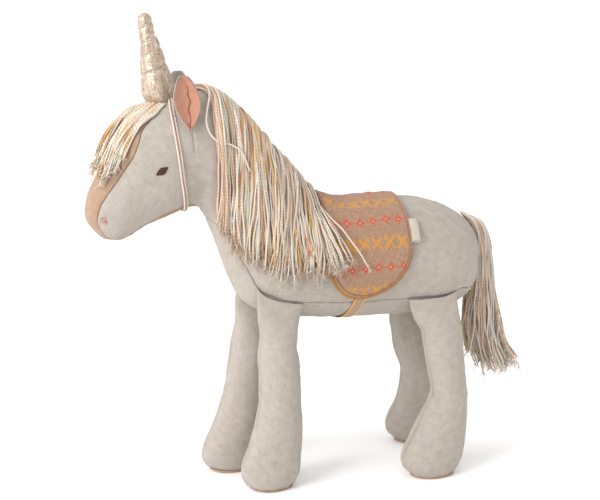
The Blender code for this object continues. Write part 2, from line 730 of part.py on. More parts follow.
def barrel_wrap(tree, y, lengths, lift):
    """Points that lie these lengths from the ridge, round the barrel in the plane of this y."""
    centre = Vector((0, y, HIP_HEIGHT + 34 * MM))
    turns = np.linspace(0, math.pi, 121)
    hits = []
    for turn in turns:
        hit, normal, _, _ = tree.ray_cast(centre, Vector((math.sin(turn), 0, math.cos(turn))))
        hits.append(hit + normal * lift)
    hits = np.array(hits)
    run = np.concatenate([[0], np.cumsum(np.linalg.norm(np.diff(hits, axis=0), axis=1))])
    lengths = np.asarray(lengths, float)
    sign = np.sign(lengths) + (lengths == 0)
    points = np.stack([np.interp(np.abs(lengths), run, hits[:, k]) for k in range(3)], -1)
    points[..., 0] *= sign
    return points, run[-1]


BLANKET_Y = FRONT_HIP_Y + BLANKET_MIDDLE
GIRTH_Y = FRONT_HIP_Y + GIRTH_MIDDLE


def blanket_drop(y):
    """Length from the ridge to the edge: flaps with round ends, lowest in front of their middle."""
    lowest = BLANKET_Y - BLANKET_SKEW
    ahead = y < lowest
    off = (y - lowest) / np.where(ahead, BLANKET_SKEW - BLANKET_HALF_LENGTH, BLANKET_SKEW + BLANKET_HALF_LENGTH)
    return BLANKET_DROP - np.where(ahead, *BLANKET_ROUNDS) * (
        1 - np.sqrt(1 - 0.995 * np.clip(off, 0, 1) ** 2)
    )


def make_blanket(tree):
    """Knit over a woven lining, laid over the back with a round flap on each side."""
    ys = BLANKET_Y + BLANKET_HALF_LENGTH * (2 * seam_shares(10) - 1)
    first = GIRTH_THICKNESS + 3 * LAYER_GAP
    second = first + LINING_THICKNESS + LAYER_GAP
    across = np.linspace(-1, 1, 21)
    for name, lift, thickness, finish in (
        ("saddle_blanket_lining", first, LINING_THICKNESS, lining),
        ("saddle_blanket_knit", second, KNIT_THICKNESS, knit),
    ):
        points = np.array([barrel_wrap(tree, y, blanket_drop(y) * across, lift)[0] for y in ys])
        outside = np.array([barrel_wrap(tree, y, blanket_drop(y) * across, lift + MM)[0] for y in ys])
        cloth(name, points, outside, thickness, finish, offset=1.0)
    return second


def make_girth(tree):
    ys = GIRTH_Y + GIRTH_WIDTH / 2 * np.array([-1, 1])
    rows = []
    for lift in (LAYER_GAP, LAYER_GAP + MM):
        row = []
        for y in ys:
            _, half_round = barrel_wrap(tree, y, 0.0, lift)
            start = blanket_drop(GIRTH_Y) - GIRTH_TUCK
            lengths = np.linspace(start, half_round, 17)
            left, _ = barrel_wrap(tree, y, lengths, lift)
            right = left[::-1] * [-1, 1, 1]
            row.append(np.concatenate([left, right[1:]]))
        rows.append(np.array(row).transpose(1, 0, 2))
    cloth("girth_strap", rows[0], rows[1], GIRTH_THICKNESS, ribbon, offset=1.0)


def make_tag(tree, lift):
    """A small blank loop of ribbon sewn into the blanket's rear edge, on the left side."""
    drops = np.linspace(TAG_DROP, TAG_DROP + TAG_LENGTH, 5)
    start = BLANKET_Y + BLANKET_HALF_LENGTH + LAYER_GAP
    ys = start + np.linspace(0, TAG_WIDTH, 3)
    points = np.array([barrel_wrap(tree, y, drops, lift)[0] for y in ys])
    outside = np.array([barrel_wrap(tree, y, drops, lift + MM)[0] for y in ys])
    tag = cloth("woven_tag", points, outside, TAG_THICKNESS, tag_cloth, offset=1.0)
    hinge("tag", outside[0, len(drops) // 2], [tag])


body_cutter = make_body()
make_side_panels()
make_under_gusset()
make_head_gusset()
for leg_side, side_name in ((1, "left"), (-1, "right")):
    front_step = RIGHT_FRONT_STEP if leg_side < 0 else 0
    rear_step = RIGHT_REAR_STEP if leg_side < 0 else 0
    make_leg(
        f"front_{side_name}",
        FRONT_LEG_ROWS,
        FRONT_HIP_Y,
        FRONT_HIP_LENGTH,
        FRONT_FOOT_X,
        front_step,
        leg_side,
    )
    make_leg(
        f"rear_{side_name}",
        REAR_LEG_ROWS,
        FRONT_HIP_Y + HIP_SPACING,
        REAR_HIP_LENGTH,
        REAR_FOOT_X,
        rear_step,
        leg_side,
    )
    make_ear(leg_side, side_name, body_cutter)
    make_face(leg_side, side_name)
make_horn(body_cutter)
make_bridle()
make_mane()
make_forelock()
make_tail()
bpy.context.view_layer.update()
barrel_tree = BVHTree.FromObject(body_cutter, bpy.context.evaluated_depsgraph_get())
knit_lift = make_blanket(barrel_tree)
make_girth(barrel_tree)
make_tag(barrel_tree, knit_lift)
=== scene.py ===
import json
import math

import bpy
import numpy as np
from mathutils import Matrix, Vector

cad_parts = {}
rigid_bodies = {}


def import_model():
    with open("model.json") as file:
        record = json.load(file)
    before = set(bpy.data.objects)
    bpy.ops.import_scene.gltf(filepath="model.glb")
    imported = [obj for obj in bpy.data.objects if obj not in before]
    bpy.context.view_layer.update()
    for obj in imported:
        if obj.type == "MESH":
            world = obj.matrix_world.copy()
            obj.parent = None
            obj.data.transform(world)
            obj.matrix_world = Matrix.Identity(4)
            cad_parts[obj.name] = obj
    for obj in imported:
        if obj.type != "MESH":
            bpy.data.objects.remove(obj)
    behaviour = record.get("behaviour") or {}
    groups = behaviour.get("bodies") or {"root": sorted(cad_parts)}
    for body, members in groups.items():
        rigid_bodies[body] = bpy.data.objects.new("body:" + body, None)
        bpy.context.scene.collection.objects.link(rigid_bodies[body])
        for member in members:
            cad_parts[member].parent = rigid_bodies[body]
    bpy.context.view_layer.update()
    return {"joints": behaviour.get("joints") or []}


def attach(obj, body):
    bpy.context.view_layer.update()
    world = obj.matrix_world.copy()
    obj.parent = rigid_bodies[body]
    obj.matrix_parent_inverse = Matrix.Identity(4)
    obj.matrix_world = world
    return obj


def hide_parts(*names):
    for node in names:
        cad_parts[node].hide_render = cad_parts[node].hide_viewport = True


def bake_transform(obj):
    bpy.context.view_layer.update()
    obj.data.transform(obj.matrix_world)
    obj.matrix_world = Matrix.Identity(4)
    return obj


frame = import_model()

MM = 0.001
DEG = math.pi / 180

# ---- Camera, floor and studio light ------------------------------------------------------------
# The toy stands on a plain white floor and is seen from its left, a little from the front and above.
# A wide soft light stands to the left of the camera, with a weak one overhead and one at the rear. The
# white walls fill the rest, and are a little brighter ahead of the toy.
WALL_LEVEL, WALL_SLOPE = 0.95, (-0.11, -0.38, 0.12)
aim_at = Vector((-6.3 * MM, -11 * MM, 210 * MM))
azimuth, elevation, distance = 71.2 * DEG, 12.5 * DEG, 1.3
back = Vector((math.sin(azimuth) * math.cos(elevation), -math.cos(azimuth) * math.cos(elevation),
               math.sin(elevation)))
lens = bpy.data.cameras.new("camera")
lens.lens, lens.sensor_width, lens.clip_start = 85.7, 36, 0.01
camera = bpy.data.objects.new("camera", lens)
bpy.context.scene.collection.objects.link(camera)
camera.location = aim_at + back * distance
camera.rotation_euler = (-back).to_track_quat("-Z", "Y").to_euler()
bpy.context.scene.camera = camera

walls = bpy.data.worlds.new("white_walls")
walls.use_nodes = True
toward = walls.node_tree.nodes.new("ShaderNodeTexCoord")
facing = walls.node_tree.nodes.new("ShaderNodeVectorMath")
facing.operation = "DOT_PRODUCT"
facing.inputs[1].default_value = WALL_SLOPE
walls.node_tree.links.new(toward.outputs["Generated"], facing.inputs[0])
bright = walls.node_tree.nodes.new("ShaderNodeMath")
bright.inputs[1].default_value = WALL_LEVEL
walls.node_tree.links.new(facing.outputs["Value"], bright.inputs[0])
background = walls.node_tree.nodes["Background"]
background.inputs["Color"].default_value = (1.0, 1.0, 1.0, 1)
walls.node_tree.links.new(bright.outputs[0], background.inputs["Strength"])
bpy.context.scene.world = walls
bpy.context.scene.view_settings.view_transform = "Standard"

for light_name, place, side, power in (("soft_key", (0.75, -1.55, 1.1), 0.9, 26.0),
                                       ("soft_top", (0.2, 0.1, 1.6), 1.4, 2.5),
                                       ("soft_fill", (0.45, 1.5, 0.6), 1.0, 4.5)):
    lamp = bpy.data.lights.new(light_name, "AREA")
    lamp.shape, lamp.size, lamp.energy = "SQUARE", side, power
    holder = bpy.data.objects.new(light_name, lamp)
    bpy.context.scene.collection.objects.link(holder)
    holder.location = place
    holder.rotation_euler = (aim_at - Vector(place)).to_track_quat("-Z", "Y").to_euler()

floor_mesh = bpy.data.meshes.new("floor")
floor_mesh.from_pydata([(-40, -40, 0), (40, -40, 0), (40, 40, 0), (-40, 40, 0)], [], [(0, 1, 2, 3)])
floor = bpy.data.objects.new("floor", floor_mesh)
bpy.context.scene.collection.objects.link(floor)
paint = bpy.data.materials.new("white_floor")
paint.use_nodes = True
paint.node_tree.nodes["Principled BSDF"].inputs["Base Color"].default_value = (0.985, 0.985, 0.985, 1)
paint.node_tree.nodes["Principled BSDF"].inputs["Roughness"].default_value = 0.9
floor_mesh.materials.append(paint)

# ---- Linen ---------------------------------------------------------------------------------------
# The skin is a plain weave of unbleached linen: uneven threads about 0.55 mm apart, here and there a
# thick slub, and small flecks of brown fibre. The same weave dyed peach makes the blaze and the soles.


def new_group(name, inputs, outputs):
    """An empty shader node group with these named sockets, its input node and its output node."""
    group = bpy.data.node_groups.new(name, "ShaderNodeTree")
    for socket, kind, value in inputs:
        made = group.interface.new_socket(socket, in_out="INPUT", socket_type=kind)
        if value is not None:
            made.default_value = value
    for socket, kind in outputs:
        group.interface.new_socket(socket, in_out="OUTPUT", socket_type=kind)
    return group, group.nodes.new("NodeGroupInput"), group.nodes.new("NodeGroupOutput")


def sums(tree, kind, first, second=None, third=None):
    """A Math node of this kind on up to three values, each a socket or a number."""
    node = tree.nodes.new("ShaderNodeMath")
    node.operation = kind
    for place, value in enumerate((first, second, third)):
        if value is None:
            continue
        if isinstance(value, (int, float)):
            node.inputs[place].default_value = value
        else:
            tree.links.new(value, node.inputs[place])
    return node.outputs[0]


def noise(tree, vector, scale, detail=2.0, rough=0.5):
    """A Noise node's value at this scale, in patches to the metre of cloth."""
    node = tree.nodes.new("ShaderNodeTexNoise")
    node.inputs["Scale"].default_value = scale
    node.inputs["Detail"].default_value = detail
    node.inputs["Roughness"].default_value = rough
    tree.links.new(vector, node.inputs["Vector"])
    return node.outputs[0]


def stretched(tree, vector, scale):
    """The vector with its three parts multiplied by these scales."""
    node = tree.nodes.new("ShaderNodeVectorMath")
    node.operation = "MULTIPLY"
    tree.links.new(vector, node.inputs[0])
    node.inputs[1].default_value = scale
    return node.outputs[0]


def mixed(tree, share, first, second, blend="MIX"):
    """One colour turned into another by a share. Each colour is a socket or a tuple."""
    node = tree.nodes.new("ShaderNodeMix")
    node.data_type, node.blend_type = "RGBA", blend
    for place, value in ((0, share), (6, first), (7, second)):
        if isinstance(value, (int, float, tuple)):
            node.inputs[place].default_value = value
        else:
            tree.links.new(value, node.inputs[place])
    return node.outputs[2]


def parted(tree, vector):
    """The vector's three parts."""
    node = tree.nodes.new("ShaderNodeSeparateXYZ")
    tree.links.new(vector, node.inputs[0])
    return node.outputs


def new_material(name):
    """A material, its node tree and its shader."""
    made = bpy.data.materials.new(name)
    made.use_nodes = True
    return made, made.node_tree, made.node_tree.nodes["Principled BSDF"]


def cloth_map(tree):
    """The place on the cloth, from the UV map."""
    node = tree.nodes.new("ShaderNodeUVMap")
    node.uv_map = "cloth"
    return node.outputs[0]


def tint_of(tree):
    """A node that reads the piece's own tint."""
    node = tree.nodes.new("ShaderNodeAttribute")
    node.attribute_name = "tint"
    return node


def grouped(tree, group, vector):
    """A node that runs this group on a vector."""
    node = tree.nodes.new("ShaderNodeGroup")
    node.node_tree = group
    tree.links.new(vector, node.inputs["Vector"])
    return node


def raised_by(tree, shader, height, strength, distance):
    """Shades the surface as if it stood out by the height times this distance."""
    node = tree.nodes.new("ShaderNodeBump")
    node.inputs["Strength"].default_value = strength
    node.inputs["Distance"].default_value = distance
    tree.links.new(height, node.inputs["Height"])
    tree.links.new(node.outputs[0], shader.inputs["Normal"])


weave, given, result = new_group(
    "plain_weave",
    [("Vector", "NodeSocketVector", None), ("Threads", "NodeSocketFloat", 1800.0)],
    [("Height", "NodeSocketFloat"), ("Slubs", "NodeSocketFloat"), ("Flecks", "NodeSocketFloat"),
     ("Mottle", "NodeSocketFloat")])
wander = noise(weave, given.outputs["Vector"], 260, 2)
apart = parted(weave, given.outputs["Vector"])
turns = [sums(weave, "MULTIPLY_ADD", apart[k], given.outputs["Threads"],
              sums(weave, "MULTIPLY", wander, 2.5)) for k in (0, 1)]
waves = [sums(weave, "SINE", sums(weave, "MULTIPLY", turn, math.pi)) for turn in turns]
over = sums(weave, "GREATER_THAN", sums(weave, "MULTIPLY", *waves), 0.0)
warp, weft = (sums(weave, "ABSOLUTE", wave) for wave in waves)
thread = sums(weave, "ADD", sums(weave, "MULTIPLY", warp, over),
              sums(weave, "MULTIPLY", weft, sums(weave, "SUBTRACT", 1.0, over)))
slub_one = noise(weave, stretched(weave, given.outputs["Vector"], (90, 1300, 1)), 1.0, 1)
slub_two = noise(weave, stretched(weave, given.outputs["Vector"], (1300, 90, 1)), 1.0, 1)
slubs = sums(weave, "MAXIMUM", slub_one, slub_two)
fleck = noise(weave, given.outputs["Vector"], 420, 1)
weave.links.new(sums(weave, "MULTIPLY_ADD", slubs, 0.9, sums(weave, "MULTIPLY", thread, 0.8)),
                result.inputs["Height"])
weave.links.new(slubs, result.inputs["Slubs"])
weave.links.new(sums(weave, "SMOOTH_MIN", 1.0, sums(weave, "MULTIPLY", sums(
    weave, "MAXIMUM", sums(weave, "SUBTRACT", fleck, 0.735), 0.0), 14.0), 0.1), result.inputs["Flecks"])
weave.links.new(noise(weave, given.outputs["Vector"], 130, 3, 0.6), result.inputs["Mottle"])


def cloth_material(name, pale, dark, fleck_colour, bump=0.8, fleck_share=0.55, to_the_metre=1800.0):
    """Woven cloth: its colour runs from dark to pale with the mottle and slubs, with flecks on top."""
    made, tree, shader = new_material(name)
    group = grouped(tree, weave, cloth_map(tree))
    group.inputs["Threads"].default_value = to_the_metre
    tone = sums(tree, "MULTIPLY_ADD", group.outputs["Mottle"], 1.1,
                sums(tree, "MULTIPLY_ADD", group.outputs["Slubs"], 1.2, -0.72))
    tone = sums(tree, "MINIMUM", sums(tree, "MAXIMUM", tone, 0.0), 1.0)
    colour = mixed(tree, tone, dark, pale)
    colour = mixed(tree, sums(tree, "MULTIPLY", group.outputs["Flecks"], fleck_share), colour,
                   fleck_colour)
    tree.links.new(colour, shader.inputs["Base Color"])
    shader.inputs["Roughness"].default_value = 0.92
    shader.inputs["Specular IOR Level"].default_value = 0.25
    shader.inputs["Sheen Weight"].default_value = 0.12
    shader.inputs["Sheen Roughness"].default_value = 0.6
    raised_by(tree, shader, group.outputs["Height"], bump, 0.25 * MM)
    return made


linen = cloth_material("unbleached_linen", (0.520, 0.466, 0.415, 1), (0.350, 0.300, 0.252, 1),
                       (0.20, 0.095, 0.045, 1), fleck_share=0.8)
peach_linen = cloth_material("peach_linen", (0.47, 0.315, 0.222, 1), (0.36, 0.220, 0.142, 1),
                             (0.36, 0.16, 0.08, 1), fleck_share=0.3)

# ---- Head, neck and barrel -----------------------------------------------------------------------
# One linen panel on each side runs from the muzzle to the rump, with a gusset of linen under the neck
# and belly and one of peach linen over the forehead, round the nose and back under the jaw. They are
# sewn inside out, turned and stuffed hard, so each seam lies in a narrow valley with small puckers.
HIP_HEIGHT, FRONT_HIP_Y, HIP_SPACING = 168 * MM, -42 * MM, 144 * MM
HEAD_HALF_WIDTH, NECK_HALF_WIDTH, BARREL_HALF_WIDTH = 30 * MM, 33 * MM, 48 * MM
# Under and upper outline (y from the front hips, z from the hips) and share of the half width.
HEAD_ROWS = [
    (-164.5, 89, -164.5, 89, 0.0), (-163, 81, -164, 96, 0.28), (-158, 73.5, -162, 104, 0.48),
    (-149, 65.5, -158, 114, 0.64), (-134, 65.5, -150, 130, 0.78), (-112, 77, -136, 153, 0.90),
    (-91, 84.5, -118, 173, 0.98), (-76, 89, -98, 186, 1.0), (-67, 89, -76, 192, 1.0)]
NECK_ROWS = [
    (-61, 82, -55, 190, 0.93), (-57, 73, -34, 175, 0.92), (-51, 58, -12, 150, 0.95),
    (-44, 38, 12, 123, 1.05), (-36, 20, 36, 97, 1.2)]
BARREL_ROWS = [
    (-26, 1, 62, 87, 0.89), (-3, -11, 84, 87, 0.95), (27, -17, 104, 87.5, 1.0),
    (62, -20, 124, 87.5, 1.0), (97, -21.5, 142, 86, 0.99), (127, -22.5, 160, 81, 0.97),
    (150, -22, 176, 73.5, 0.91), (170, -19, 189, 64, 0.79), (185, -13, 198, 51, 0.60),
    (195, -3, 202.5, 36, 0.35), (203.5, 18, 203.5, 18, 0.0)]
UNDER_SEAM_STATIONS = (9.3, 10, 11, 12, 14, 15, 16, 18, 20, 21, 22, 23, 23.5)
UNDER_SEAM_ANGLES = (3, 25, 38, 42, 42, 46, 50, 52, 57, 64, 60, 40, 5)
GUSSET_STATIONS = (2.2, 2.6, 3.0, 3.6, 4.5, 5.2, 5.6, 5.8, 6.4, 7.1, 8.3)
GUSSET_OVER = (94, 77, 67, 62, 60, 57, 48, 39, 31, 23, 4)
GUSSET_UNDER = (62, 44, 31, 23, 20, 24, 25, 25, 25, 24, 4)

body_rows = np.array(HEAD_ROWS + NECK_ROWS + BARREL_ROWS, float)
body_rows[:, :4] = body_rows[:, :4] * MM + [FRONT_HIP_Y, HIP_HEIGHT, FRONT_HIP_Y, HIP_HEIGHT]
body_rows[:, 4] *= np.repeat([HEAD_HALF_WIDTH, NECK_HALF_WIDTH, BARREL_HALF_WIDTH],
                             [len(HEAD_ROWS), len(NECK_ROWS), len(BARREL_ROWS)])


def spline(rows, place):
    """Rows of a table read at fractional places, on a smooth cubic curve through every row."""
    place = np.clip(place, 0, len(rows) - 1)
    low = np.minimum(place.astype(int), len(rows) - 2)
    f = (place - low)[..., None]
    ends = np.concatenate([2 * rows[:1] - rows[1:2], rows, 2 * rows[-1:] - rows[-2:-1]])
    a, b, c, d = (ends[low + k] for k in range(4))
    return b + 0.5 * f * (c - a + f * (2 * a - 5 * b + 4 * c - d + f * (3 * (b - c) + d - a)))


def coat(station, angle):
    """The animal's outside. A station is an ellipse from its under to its upper point, and the
    angle runs from the crest, 0, round the left side to the belly, pi."""
    station, angle = np.broadcast_arrays(np.asarray(station, float), np.asarray(angle, float))
    row = spline(body_rows, station)
    up = (1 + np.cos(angle)) / 2
    y = row[..., 0] + (row[..., 2] - row[..., 0]) * up
    z = row[..., 1] + (row[..., 3] - row[..., 1]) * up
    return np.stack([row[..., 4] * np.sin(angle), y, z], -1)


def lifted(shape, along, around, lift, sign=1):
    """Points of a surface moved along its outward normal, the cross product of its two slopes."""
    step = 1e-3
    along, around = np.broadcast_arrays(np.asarray(along, float), np.asarray(around, float))
    normal = np.cross(shape(along, around + step) - shape(along, around - step),
                      shape(along + step, around) - shape(along - step, around)) * sign
    normal /= np.maximum(np.linalg.norm(normal, axis=-1, keepdims=True), 1e-15)
    return shape(along, around) + normal * np.asarray(lift)[..., None]


def crowded(count, share=0.85):
    """Shares from 0 to 1 that lie closer together at both ends: t - share sin(2 pi t) / 2 pi."""
    even = np.linspace(0, 1, count)
    return even - share * np.sin(2 * math.pi * even) / (2 * math.pi)


def ripple(points, size, seed, count=14):
    """A smooth random height, mostly from -1 to 1: a sum of plane waves about this size apart, each
    with its own direction and phase."""
    rng = np.random.default_rng(seed)
    ways = rng.normal(size=(count, 3))
    ways *= 2 * math.pi / (np.linalg.norm(ways, axis=1) * size * rng.uniform(0.7, 1.7, count))[:, None]
    return np.sin(points @ ways.T + rng.uniform(0, 2 * math.pi, count)).sum(-1) / math.sqrt(count)


def run_across(points):
    """Length along each row of a grid of points, from its first point."""
    steps = np.linalg.norm(np.diff(points, axis=1), axis=-1)
    return np.concatenate([np.zeros((len(points), 1)), np.cumsum(steps, axis=1)], axis=1)


def run_along(line):
    """Length along one line of points, from its first point."""
    return run_across(line[None])[0]


def new_piece(name, points, corners, starts, places, tints, finish):
    """A smooth mesh object: its points, the points at its faces' corners, the corner where each face
    starts, the place of each corner on the UV map and, where there are any, the tint of each point."""
    mesh = bpy.data.meshes.new(name)
    mesh.vertices.add(len(points))
    mesh.vertices.foreach_set("co", points.astype(np.float32).ravel())
    mesh.loops.add(corners.size)
    mesh.loops.foreach_set("vertex_index", corners.astype(np.int32).ravel())
    mesh.polygons.add(len(starts))
    mesh.polygons.foreach_set("loop_start", starts.astype(np.int32))
    mesh.update(calc_edges=True)
    layer = mesh.uv_layers.new(name="cloth")
    layer.data.foreach_set("uv", places.astype(np.float32).ravel())
    if tints is not None:
        kept = mesh.attributes.new("tint", "FLOAT_COLOR", "POINT")
        kept.data.foreach_set("color", tints.astype(np.float32).ravel())
    mesh.materials.append(finish)
    mesh.shade_smooth()
    piece = bpy.data.objects.new(name, mesh)
    bpy.context.scene.collection.objects.link(piece)
    return piece


def surface(name, points, finish, uv=None, wrap=False, behind=None, wall=0.0, colours=None):
    """A grid of points (rows, columns) as a mesh, its place on the cloth as its UV map. With wrap
    the last column joins the first. Points behind it say which side is in, and a wall grows there."""
    rows, columns = points.shape[:2]
    if uv is None:
        down = run_across(points.transpose(1, 0, 2)).T
        across = run_across(points)
        uv = np.stack([across - across[:, columns // 2, None], down], -1)
        if wrap:
            uv = np.concatenate([uv, uv[:, :1] + [across[:, -1:].mean(), 0]], axis=1)
    i, j = np.meshgrid(np.arange(rows - 1), np.arange(columns - (0 if wrap else 1)), indexing="ij")
    near, far = j, (j + 1) % columns
    corners = np.stack([i * columns + near, i * columns + far, (i + 1) * columns + far,
                        (i + 1) * columns + near], -1).reshape(-1, 4)
    wide = uv.shape[1]
    places = np.stack([i * wide + j, i * wide + j + 1, (i + 1) * wide + j + 1, (i + 1) * wide + j],
                      -1).reshape(-1, 4)
    flat = points.reshape(-1, 3)
    if behind is not None:
        a, b, d = (flat[corners[:, k]] for k in (0, 1, 3))
        out = a - behind.reshape(-1, 3)[corners[:, 0]]
        if (np.cross(b - a, d - a) * out).sum() < 0:
            corners, places = corners[:, ::-1], places[:, ::-1]
    tints = None if colours is None else colours.reshape(-1, 4)
    piece = new_piece(name, flat, corners, np.arange(0, corners.size, 4), uv.reshape(-1, 2)[places],
                      tints, finish)
    piece.data.validate()
    if wall:
        thick = piece.modifiers.new("wall", "SOLIDIFY")
        thick.thickness, thick.offset, thick.use_even_offset = wall, -1.0, False
    return piece


def seam_valley(distance, points, seed):
    """How far cloth sinks beside a seam: steeply in the last millimetre, gently over some more, with
    puckers that fade away from the seam."""
    sunk = 1.2 * MM * np.exp(-distance / (0.5 * MM)) + 0.35 * MM * np.exp(-distance / (4 * MM))
    pucker = ripple(points, 7 * MM, seed) * 0.34 * np.exp(-distance / (7 * MM))
    pucker += ripple(points, 3 * MM, seed + 1) * 0.13 * np.exp(-distance / (2.5 * MM))
    return -sunk + pucker * MM


def panel(name, stations, angles, finish, seed, extra=None):
    """A panel of the coat: its rows follow the stations, and both long edges lie in seams."""
    flat = coat(stations, angles)
    run = run_across(flat)
    lift = 0.55 * MM * ripple(flat, 42 * MM, 11) + 0.16 * MM * ripple(flat, 14 * MM, 12)
    for distance in (run, run[:, -1:] - run):
        lift = lift + seam_valley(distance, flat, seed)
    if extra is not None:
        lift = lift + extra(flat)
    points = lifted(coat, stations, angles, lift)
    inner = lifted(coat, stations, angles, lift - 3 * MM)
    piece = surface(name, points, finish, behind=inner, wall=1.0 * MM)
    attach(piece, "body")
    return piece


def dent(points, place, radius, depth):
    """A round dimple on both cheeks alike: depth times exp(-(distance / radius) squared)."""
    away = np.linalg.norm((points - place)[..., 1:], axis=-1)
    return -depth * np.exp(-(away / radius) ** 2)


def crease(points, first, second, width, depth):
    """A narrow groove along the line between two places, seen from the side."""
    first, second = np.array(first), np.array(second)
    line = second - first
    share = np.clip((points[..., 1:] - first) @ line / (line @ line), 0, 1)
    away = np.linalg.norm(points[..., 1:] - first - share[..., None] * line, axis=-1)
    return -depth * np.exp(-(away / width) ** 2)


SEAM_HALF_WIDTH = 0.12 * MM
EYE_PLACE = np.array([0, -146 * MM, 295 * MM])
NOSTRIL_PLACE = np.array([0, -195 * MM, 253 * MM])


def head_details(points):
    """The eye's and the nostril's dimples and the dart that runs down from the ear."""
    cheek = dent(points, EYE_PLACE, 6 * MM, 0.5 * MM) + dent(points, NOSTRIL_PLACE, 4 * MM, 2.2 * MM)
    dart = crease(points, (-118.5 * MM, 328 * MM), (-117 * MM, 311 * MM), 1.1 * MM, 1.0 * MM)
    return cheek + np.where(np.abs(points[..., 0]) > 12 * MM, dart, 0)


def under_seam(station):
    """Angle of the seam between a side panel and the under gusset."""
    return math.pi - DEG * np.interp(station, UNDER_SEAM_STATIONS, UNDER_SEAM_ANGLES)


def gusset_edge(station, over):
    """Angle of the head gusset's edge, over the nose or under the jaw."""
    table = DEG * np.array(GUSSET_OVER if over else GUSSET_UNDER)
    smooth = np.interp(station, GUSSET_STATIONS, table)
    return smooth if over else math.pi - smooth


def seam_gap(station, angle):
    """The angle that half of a seam's width takes up there."""
    step = 1e-3
    chord = coat(station, angle + step) - coat(station, angle - step)
    return SEAM_HALF_WIDTH * 2 * step / np.linalg.norm(chord, axis=-1)


head_stations = np.linspace(GUSSET_STATIONS[0], GUSSET_STATIONS[-1], 120)
belly_stations = np.linspace(9.3, 23.5, 230)
side_stations = np.concatenate([head_stations, np.linspace(8.35, 9.25, 14), belly_stations,
                                np.linspace(23.53, 23.96, 10)])
on_head = side_stations <= GUSSET_STATIONS[-1]
top = np.where(on_head, gusset_edge(side_stations, True),
               np.interp(side_stations, (8.3, 8.9), (4 * DEG, 0)))
bottom = np.where(side_stations < 9.3,
                  np.where(on_head, gusset_edge(side_stations, False), math.pi - 3 * DEG),
                  under_seam(side_stations))
top, bottom = top + seam_gap(side_stations, top), bottom - seam_gap(side_stations, bottom)
angles = top[:, None] + (bottom - top)[:, None] * crowded(124)
for side, side_name in ((1, "left"), (-1, "right")):
    skin = panel(f"side_panel_{side_name}_cloth", side_stations[:, None], side * angles, linen,
                 20, head_details)
    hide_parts(f"side_panel_{side_name}")

edge = under_seam(belly_stations) + seam_gap(belly_stations, under_seam(belly_stations))
angles = math.pi + (math.pi - edge)[:, None] * (2 * crowded(72) - 1)
skin = panel("under_gusset_cloth", belly_stations[:, None], angles, linen, 20)
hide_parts("under_gusset")

spread = 2 * crowded(44) - 1
upper = head_stations[::-1]
edge = gusset_edge(upper, True)
over_angles = (edge - seam_gap(upper, edge))[:, None] * spread
edge = gusset_edge(head_stations, False)
under_angles = math.pi + (math.pi - edge - seam_gap(head_stations, edge))[:, None] * -spread
turn = np.linspace(0, 1, 26)[1:-1, None]
p = np.sin(over_angles[-1]) * (1 - turn) + np.sin(under_angles[0]) * turn
q = np.cos(over_angles[-1]) * (1 - turn) + np.cos(under_angles[0]) * turn
nose_stations = np.maximum(np.hypot(p, q) * GUSSET_STATIONS[0], 0.02)
stations = np.concatenate([np.repeat(upper[:, None], 44, 1), nose_stations,
                           np.repeat(head_stations[:, None], 44, 1)])
angles = np.concatenate([over_angles, np.arctan2(p, q), under_angles])
skin = panel("head_gusset_cloth", stations, angles, peach_linen, 20)
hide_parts("head_gusset")

# ---- Legs ----------------------------------------------------------------------------------------
# Each leg is two linen panels sewn together down the front and the back. The seam allowance is
# pressed to one side and stitched through, which leaves a narrow ridge. The stuffed leg is flattened
# at the top and sewn into the seam under the barrel, and a peach sole closes its foot.
LEG_HALF_WIDTH, FLAT_TOP, TUCK = 19.5 * MM, 3.2 * MM, 0.6 * MM
KNEE_SHARE, KNEE_SOFTNESS, SWING_POWER = 0.38, 0.06, 1.4
# Height as a share, front and back edge from the hip's middle, and share of the half width.
FRONT_LEG_ROWS = [
    (1.0, -21, 21, 0.16), (0.95, -21, 18, 0.32), (0.89, -20.5, 15.5, 0.62), (0.815, -18.5, 15, 0.83),
    (0.74, -19.5, 16.5, 0.94), (0.60, -19.7, 18, 0.98), (0.49, -20, 19, 0.98), (0.36, -24, 20, 1.0),
    (0.27, -28, 20, 1.03), (0.17, -34.5, 19.5, 1.05), (0.09, -36.5, 18, 1.03),
    (0.036, -33.5, 14.5, 0.93), (0.012, -28, 11, 0.80)]
REAR_LEG_ROWS = [
    (1.0, -24, 24, 0.16), (0.94, -21.5, 25, 0.32), (0.88, -17, 26, 0.62), (0.82, -12, 27.3, 0.83),
    (0.74, -8.5, 28.5, 0.94), (0.60, -5, 30.3, 0.98), (0.47, -1, 32, 1.0), (0.40, -5, 33, 1.0),
    (0.315, -14, 33, 1.03), (0.21, -23.5, 31.5, 1.05), (0.12, -31, 29, 1.05), (0.06, -30, 26, 0.97),
    (0.012, -22, 20, 0.80)]


def hip_line(y, side):
    """x and z just outside the under seam at this y, where a leg's top is sewn in."""
    seam_stations = np.linspace(12, 23, 221)
    seam = lifted(coat, seam_stations, under_seam(seam_stations), np.full(221, TUCK))
    return side * np.interp(y, seam[:, 1], seam[:, 0]), np.interp(y, seam[:, 1], seam[:, 2])


